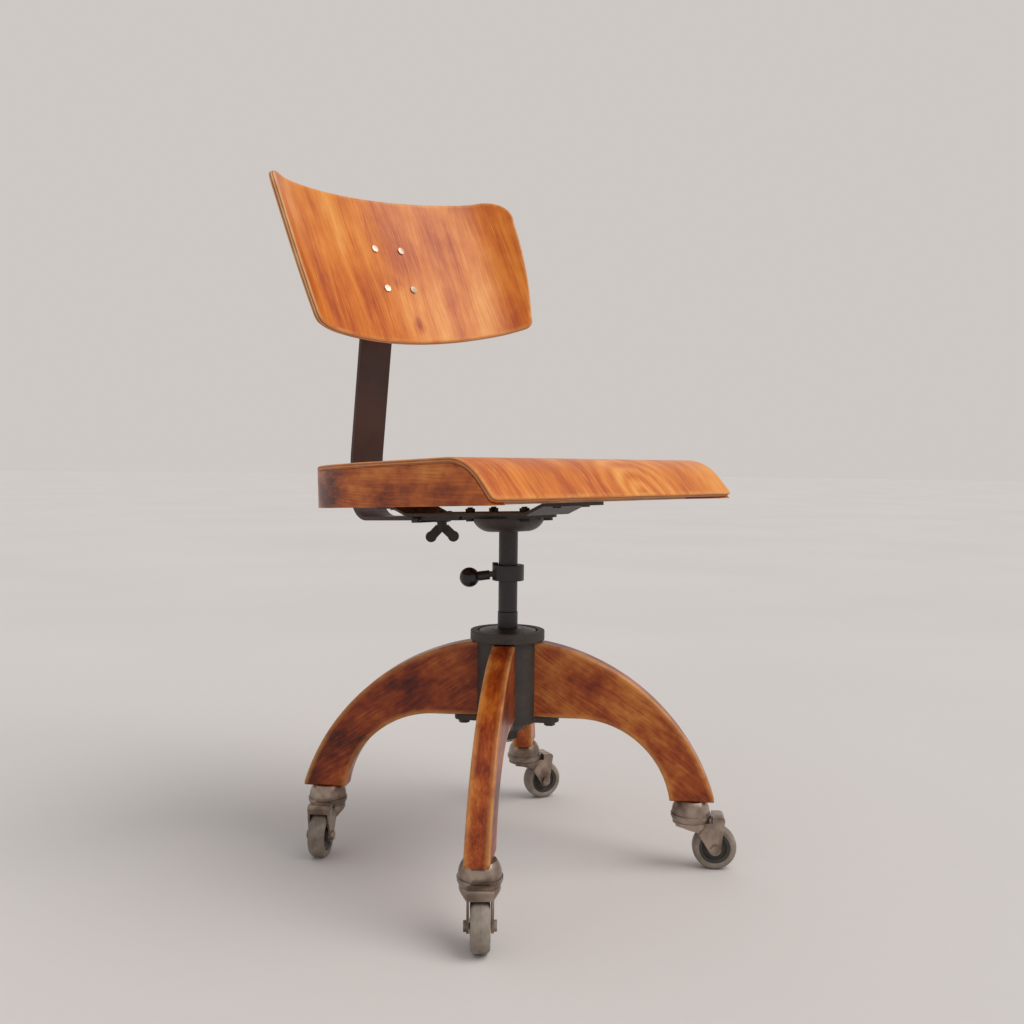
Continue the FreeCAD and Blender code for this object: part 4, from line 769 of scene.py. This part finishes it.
def leg_coords(heading):
    """Coordinates along the leg, across it and up, in metres, from the post's foot."""
    def coords_of(finish):
        spot = (COLUMN[0] * MM, COLUMN[1] * MM, 0)
        return add(finish, "Mapping", {"vector_type": "TEXTURE"}, Vector=object_coords(finish),
                   Location=spot, Rotation=(0, 0, math.radians(heading))).outputs[0]
    return coords_of


def far_from(finish, coords, centre, radius):
    """How far a point is from an arc in the leg's own upright plane."""
    flat = add(finish, "Mapping", Vector=coords, Location=(-centre[0] * MM, 0, -centre[1] * MM),
               Scale=(1, 0, 1)).outputs[0]
    gap = maths(finish, "SUBTRACT", vector_maths(finish, "LENGTH", flat), radius * MM)
    return maths(finish, "ABSOLUTE", gap)


def worn_leg_edge(heading):
    def rim(finish):
        coords = leg_coords(heading)(finish)
        parts = add(finish, "SeparateXYZ", Vector=coords)
        past_arch = maths(finish, "SUBTRACT", parts.outputs["X"], ARCH_X * MM)
        before_arch = maths(finish, "MULTIPLY", past_arch, -1.0)
        top = far_from(finish, coords, (0, 8), 250.5)
        arch = far_from(finish, coords, (ARCH_X, ARCH_Z), ARCH_RADIUS)
        arch = maths(finish, "MAXIMUM", arch, before_arch)
        under = maths(finish, "SUBTRACT", parts.outputs["Z"], (ARCH_Z + ARCH_RADIUS) * MM)
        under = maths(finish, "MAXIMUM", maths(finish, "ABSOLUTE", under), past_arch)
        curve = maths(finish, "MINIMUM", top, maths(finish, "MINIMUM", arch, under))
        side = maths(finish, "SUBTRACT", 0.013, maths(finish, "ABSOLUTE", parts.outputs["Y"]))
        far = maths(finish, "MAXIMUM", curve, side)
        broken = remap(finish, noise(finish, coords, (30, 30, 30), 4.0, 0.65), 0.3, 0.6, 0.25, 1.0)
        near = remap(finish, far, 0.0065, 0.001)
        return maths(finish, "MULTIPLY", near, maths(finish, "MULTIPLY", broken, 0.6))
    return rim


def leg_grain(heading):
    """The leg's coordinates turned, so that the second runs out and down along the arch."""
    def coords_of(finish):
        own = leg_coords(heading)(finish)
        leaned = add(finish, "Mapping", {"vector_type": "TEXTURE"}, Vector=own,
                     Rotation=(0, math.radians(35), 0)).outputs[0]
        parts = add(finish, "SeparateXYZ", Vector=leaned)
        return add(finish, "CombineXYZ", X=parts.outputs["Z"], Y=parts.outputs["X"],
                   Z=parts.outputs["Y"]).outputs[0]
    return coords_of


for number, corner in enumerate(CORNERS):
    heading = LEG_TURN + 90 * number
    wood = stained_wood("leg_wood_" + corner, leg_grain(heading), LEG_RED, across=26, along=5, pores=0.2,
                        clouds=(22, 17, 22), cloud_share=0.75, gloss=0.33, rim=worn_leg_edge(heading))
    dress(["leg_" + corner], wood, width=0)
print("legs dressed:", CORNERS)

# %% [markdown]
# ## Painted and cast metal
# The strap, bracket and post are steel with old brown-black paint: satin, slightly uneven, with a few
# rubbed places. The hub is a rough sand casting in the same dark family. Both are a dark colour with
# slow variation, and a fine bump gives each its own texture.

# %% Dark metals
def dark_metal(name, colours, rough, grain, depth, metallic=0.0, rubbed=0.0):
    finish, shader = new_finish(name)
    coords = object_coords(finish)
    slow = noise(finish, coords, (16, 16, 16), 4.0, 0.6)
    fine = noise(finish, coords, (grain, grain, grain), 3.0, 0.6)
    colour = ramp(finish, slow, [(0.35, colours[0]), (0.65, colours[1])])
    if rubbed:
        patches = remap(finish, noise(finish, coords, (90, 90, 90), 5.0, 0.7), 0.6, 0.75)
        spots = maths(finish, "MULTIPLY", patches, rubbed)
        colour = mixed(finish, spots, colour, srgb(126, 108, 92))
    finish.node_tree.links.new(colour, shader.inputs["Base Color"])
    roughness = remap(finish, fine, 0.3, 0.7, rough - 0.06, rough + 0.08)
    finish.node_tree.links.new(roughness, shader.inputs["Roughness"])
    shader.inputs["Metallic"].default_value = metallic
    bump(finish, shader, fine, depth * MM, 0.6)
    return finish


strap_steel = dark_metal("strap_steel", (srgb(52, 31, 26), srgb(70, 44, 37)), 0.42, 260, 0.08)
post_steel = dark_metal("post_steel", (srgb(27, 23, 22), srgb(40, 34, 32)), 0.4, 300, 0.06, rubbed=0.1)
bracket_steel = dark_metal("bracket_steel", (srgb(38, 32, 29), srgb(66, 55, 49)), 0.46, 260, 0.1,
                           rubbed=0.15)
cast_iron = dark_metal("sand_cast_iron", (srgb(46, 40, 36), srgb(68, 60, 53)), 0.55, 420, 0.3,
                       rubbed=0.2)
dress(["back_strap"], strap_steel, width=0.8)
dress(["post_tube", "lower_sleeve", "clamp_collar", "clamp_lever", "bearing_cone"], post_steel,
      width=0.6)
dress(["post_head", "seat_plate", "strap_guide", "hinge_plate", "strap_clevis", "wing_screw"],
      bracket_steel, width=0.5)
dress(["hub_casting", "bearing_cup"], cast_iron, width=1.0)
print("dark metals:", strap_steel.name, post_steel.name, bracket_steel.name, cast_iron.name)

# %% [markdown]
# ## Bright metals
# Screws, the spindle, the balls and the casters are bare or zinc-coated steel that has dulled with age.
# Zinc dulls in soft grey-brown clouds, so roughness and colour both follow the same noise.

# %% Bright metals
def bright_metal(name, clean, dull, rough, metallic=0.85):
    finish, shader = new_finish(name)
    coords = object_coords(finish)
    age = noise(finish, coords, (38, 38, 38), 3.0, 0.55)
    fine = noise(finish, coords, (700, 700, 700), 2.0)
    colour = ramp(finish, age, [(0.38, dull), (0.62, clean)])
    finish.node_tree.links.new(colour, shader.inputs["Base Color"])
    roughness = remap(finish, age, 0.35, 0.65, rough + 0.14, rough - 0.06)
    finish.node_tree.links.new(roughness, shader.inputs["Roughness"])
    shader.inputs["Metallic"].default_value = metallic
    bump(finish, shader, fine, 0.00005, 0.5)
    return finish


screw_steel = bright_metal("screw_steel", srgb(212, 202, 188), srgb(160, 144, 124), 0.3)
dark_bolt = bright_metal("dark_bolt_steel", srgb(70, 62, 56), srgb(40, 34, 30), 0.42, 0.6)
spindle_steel = bright_metal("spindle_steel", srgb(170, 164, 156), srgb(110, 98, 86), 0.3)
bearing_steel = bright_metal("bearing_steel", srgb(128, 118, 106), srgb(66, 56, 48), 0.3)
caster_steel = bright_metal("caster_steel", srgb(172, 154, 140), srgb(116, 100, 88), 0.3, 0.8)
dress(["backrest_bolts", "backrest_nuts", "clevis_rivets", "pivot_pin"], screw_steel, width=0.4)
dress(["leg_bolts", "head_bolts", "head_nuts", "seat_plate_screws", "guide_rivets", "collar_bolt",
       "spindle_nut", "spindle_washer"], dark_bolt, width=0.4)
dress(["spindle"], spindle_steel, width=0.6)
dress(["bearing_balls", "ball_cage"], bearing_steel, width=0)
for corner in CORNERS:
    dress([f"caster_cap_{corner}", f"caster_fork_{corner}", f"caster_axle_{corner}"], caster_steel,
          width=0.5)
print("bright metals dressed")

# %% [markdown]
# ## The ball knob
# The clamp lever ends in a moulded black ball. It only needs a deep black with a soft gloss and the very
# slight waviness of old moulded plastic.

# %% Ball knob
knob_plastic = dark_metal("knob_plastic", (srgb(22, 19, 20), srgb(34, 30, 30)), 0.24, 120, 0.05)
dress(["ball_knob"], knob_plastic, width=0.4)
print("knob dressed")

# %% [markdown]
# ## Wheels
# Each wheel has a dark moulded centre and a grey rubber tyre. Both are turned shapes, so a lathe makes
# them: a profile of radius and width swept round the axle. The tyre has a rounded tread with a faint
# mould line, and the centre has stepped rings round its hub.

# %% Wheels
def grey_rubber():
    finish, shader = new_finish("grey_rubber")
    coords = object_coords(finish)
    dust = noise(finish, coords, (45, 45, 45), 5.0, 0.65)
    fine = noise(finish, coords, (900, 900, 900), 2.0)
    colour = ramp(finish, dust, [(0.36, srgb(112, 100, 89)), (0.64, srgb(150, 138, 125))])
    finish.node_tree.links.new(colour, shader.inputs["Base Color"])
    shader.inputs["Roughness"].default_value = 0.72
    bump(finish, shader, fine, 0.00008, 0.6)
    return finish


rubber = grey_rubber()
disc_plastic = dark_metal("wheel_disc_plastic", (srgb(48, 44, 40), srgb(74, 68, 61)), 0.5, 300, 0.08)
WHEEL_RADIUS = 25
HALF_TYRE = 9.5
TYRE_INNER = 17.5
AXLE_BORE = 3.05
HALF_HUB = 10
CASTER_CIRCLE = 213.7
CASTER_TRAIL = 27.1


def mirrored_profile(half):
    """A profile drawn from its edge to its middle, continued to the other side."""
    return half + [(radius, -height) for radius, height in reversed(half)]


def tyre_profile():
    shoulder = [(TYRE_INNER, HALF_TYRE - 0.6), (TYRE_INNER + 0.8, HALF_TYRE), (20.6, HALF_TYRE),
                (22.2, HALF_TYRE - 0.4), (23.6, HALF_TYRE - 1.6), (24.5, HALF_TYRE - 3.4),
                (24.9, HALF_TYRE - 5.6), (WHEEL_RADIUS, 1.2), (WHEEL_RADIUS, 0.5), (24.8, 0.25)]
    return [(TYRE_INNER, -(HALF_TYRE - 0.6))] + mirrored_profile(shoulder)


def core_profile():
    face = [(AXLE_BORE, HALF_HUB), (6.9, HALF_HUB), (7.5, 9.5), (7.5, 6.4), (9.0, 6.0), (9.4, 5.5),
            (11.2, 5.5), (11.6, 6.1), (12.6, 6.1), (13.2, 6.6), (14.0, 8.0), (TYRE_INNER, 8.0)]
    return [(AXLE_BORE, -HALF_HUB)] + mirrored_profile(face)


wheel_turns = {"rear_right": -22.1, "rear_left": 216.5, "front_left": 226.5, "front_right": -51.8}


def caster_place(corner):
    heading = LEG_TURN + 90 * CORNERS.index(corner)
    out = column_place @ turn(heading, "Z") @ in_mm(CASTER_CIRCLE, 0, 0)
    return out @ turn(wheel_turns[corner] - heading, "Z")


for corner in CORNERS:
    place = caster_place(corner) @ in_mm(CASTER_TRAIL, 0, WHEEL_RADIUS) @ turn(90, "X")
    body = "wheel_" + corner
    tyre = new_piece("tyre_ring_" + corner, *lathe(tyre_profile(), 96), [rubber], body, place, 30)
    core = new_piece("wheel_centre_" + corner, *lathe(core_profile(), 72), [disc_plastic], body,
                     place, 30)
    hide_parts("tyre_" + corner)
    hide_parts("wheel_core_" + corner)
print("wheels made:", len(CORNERS))
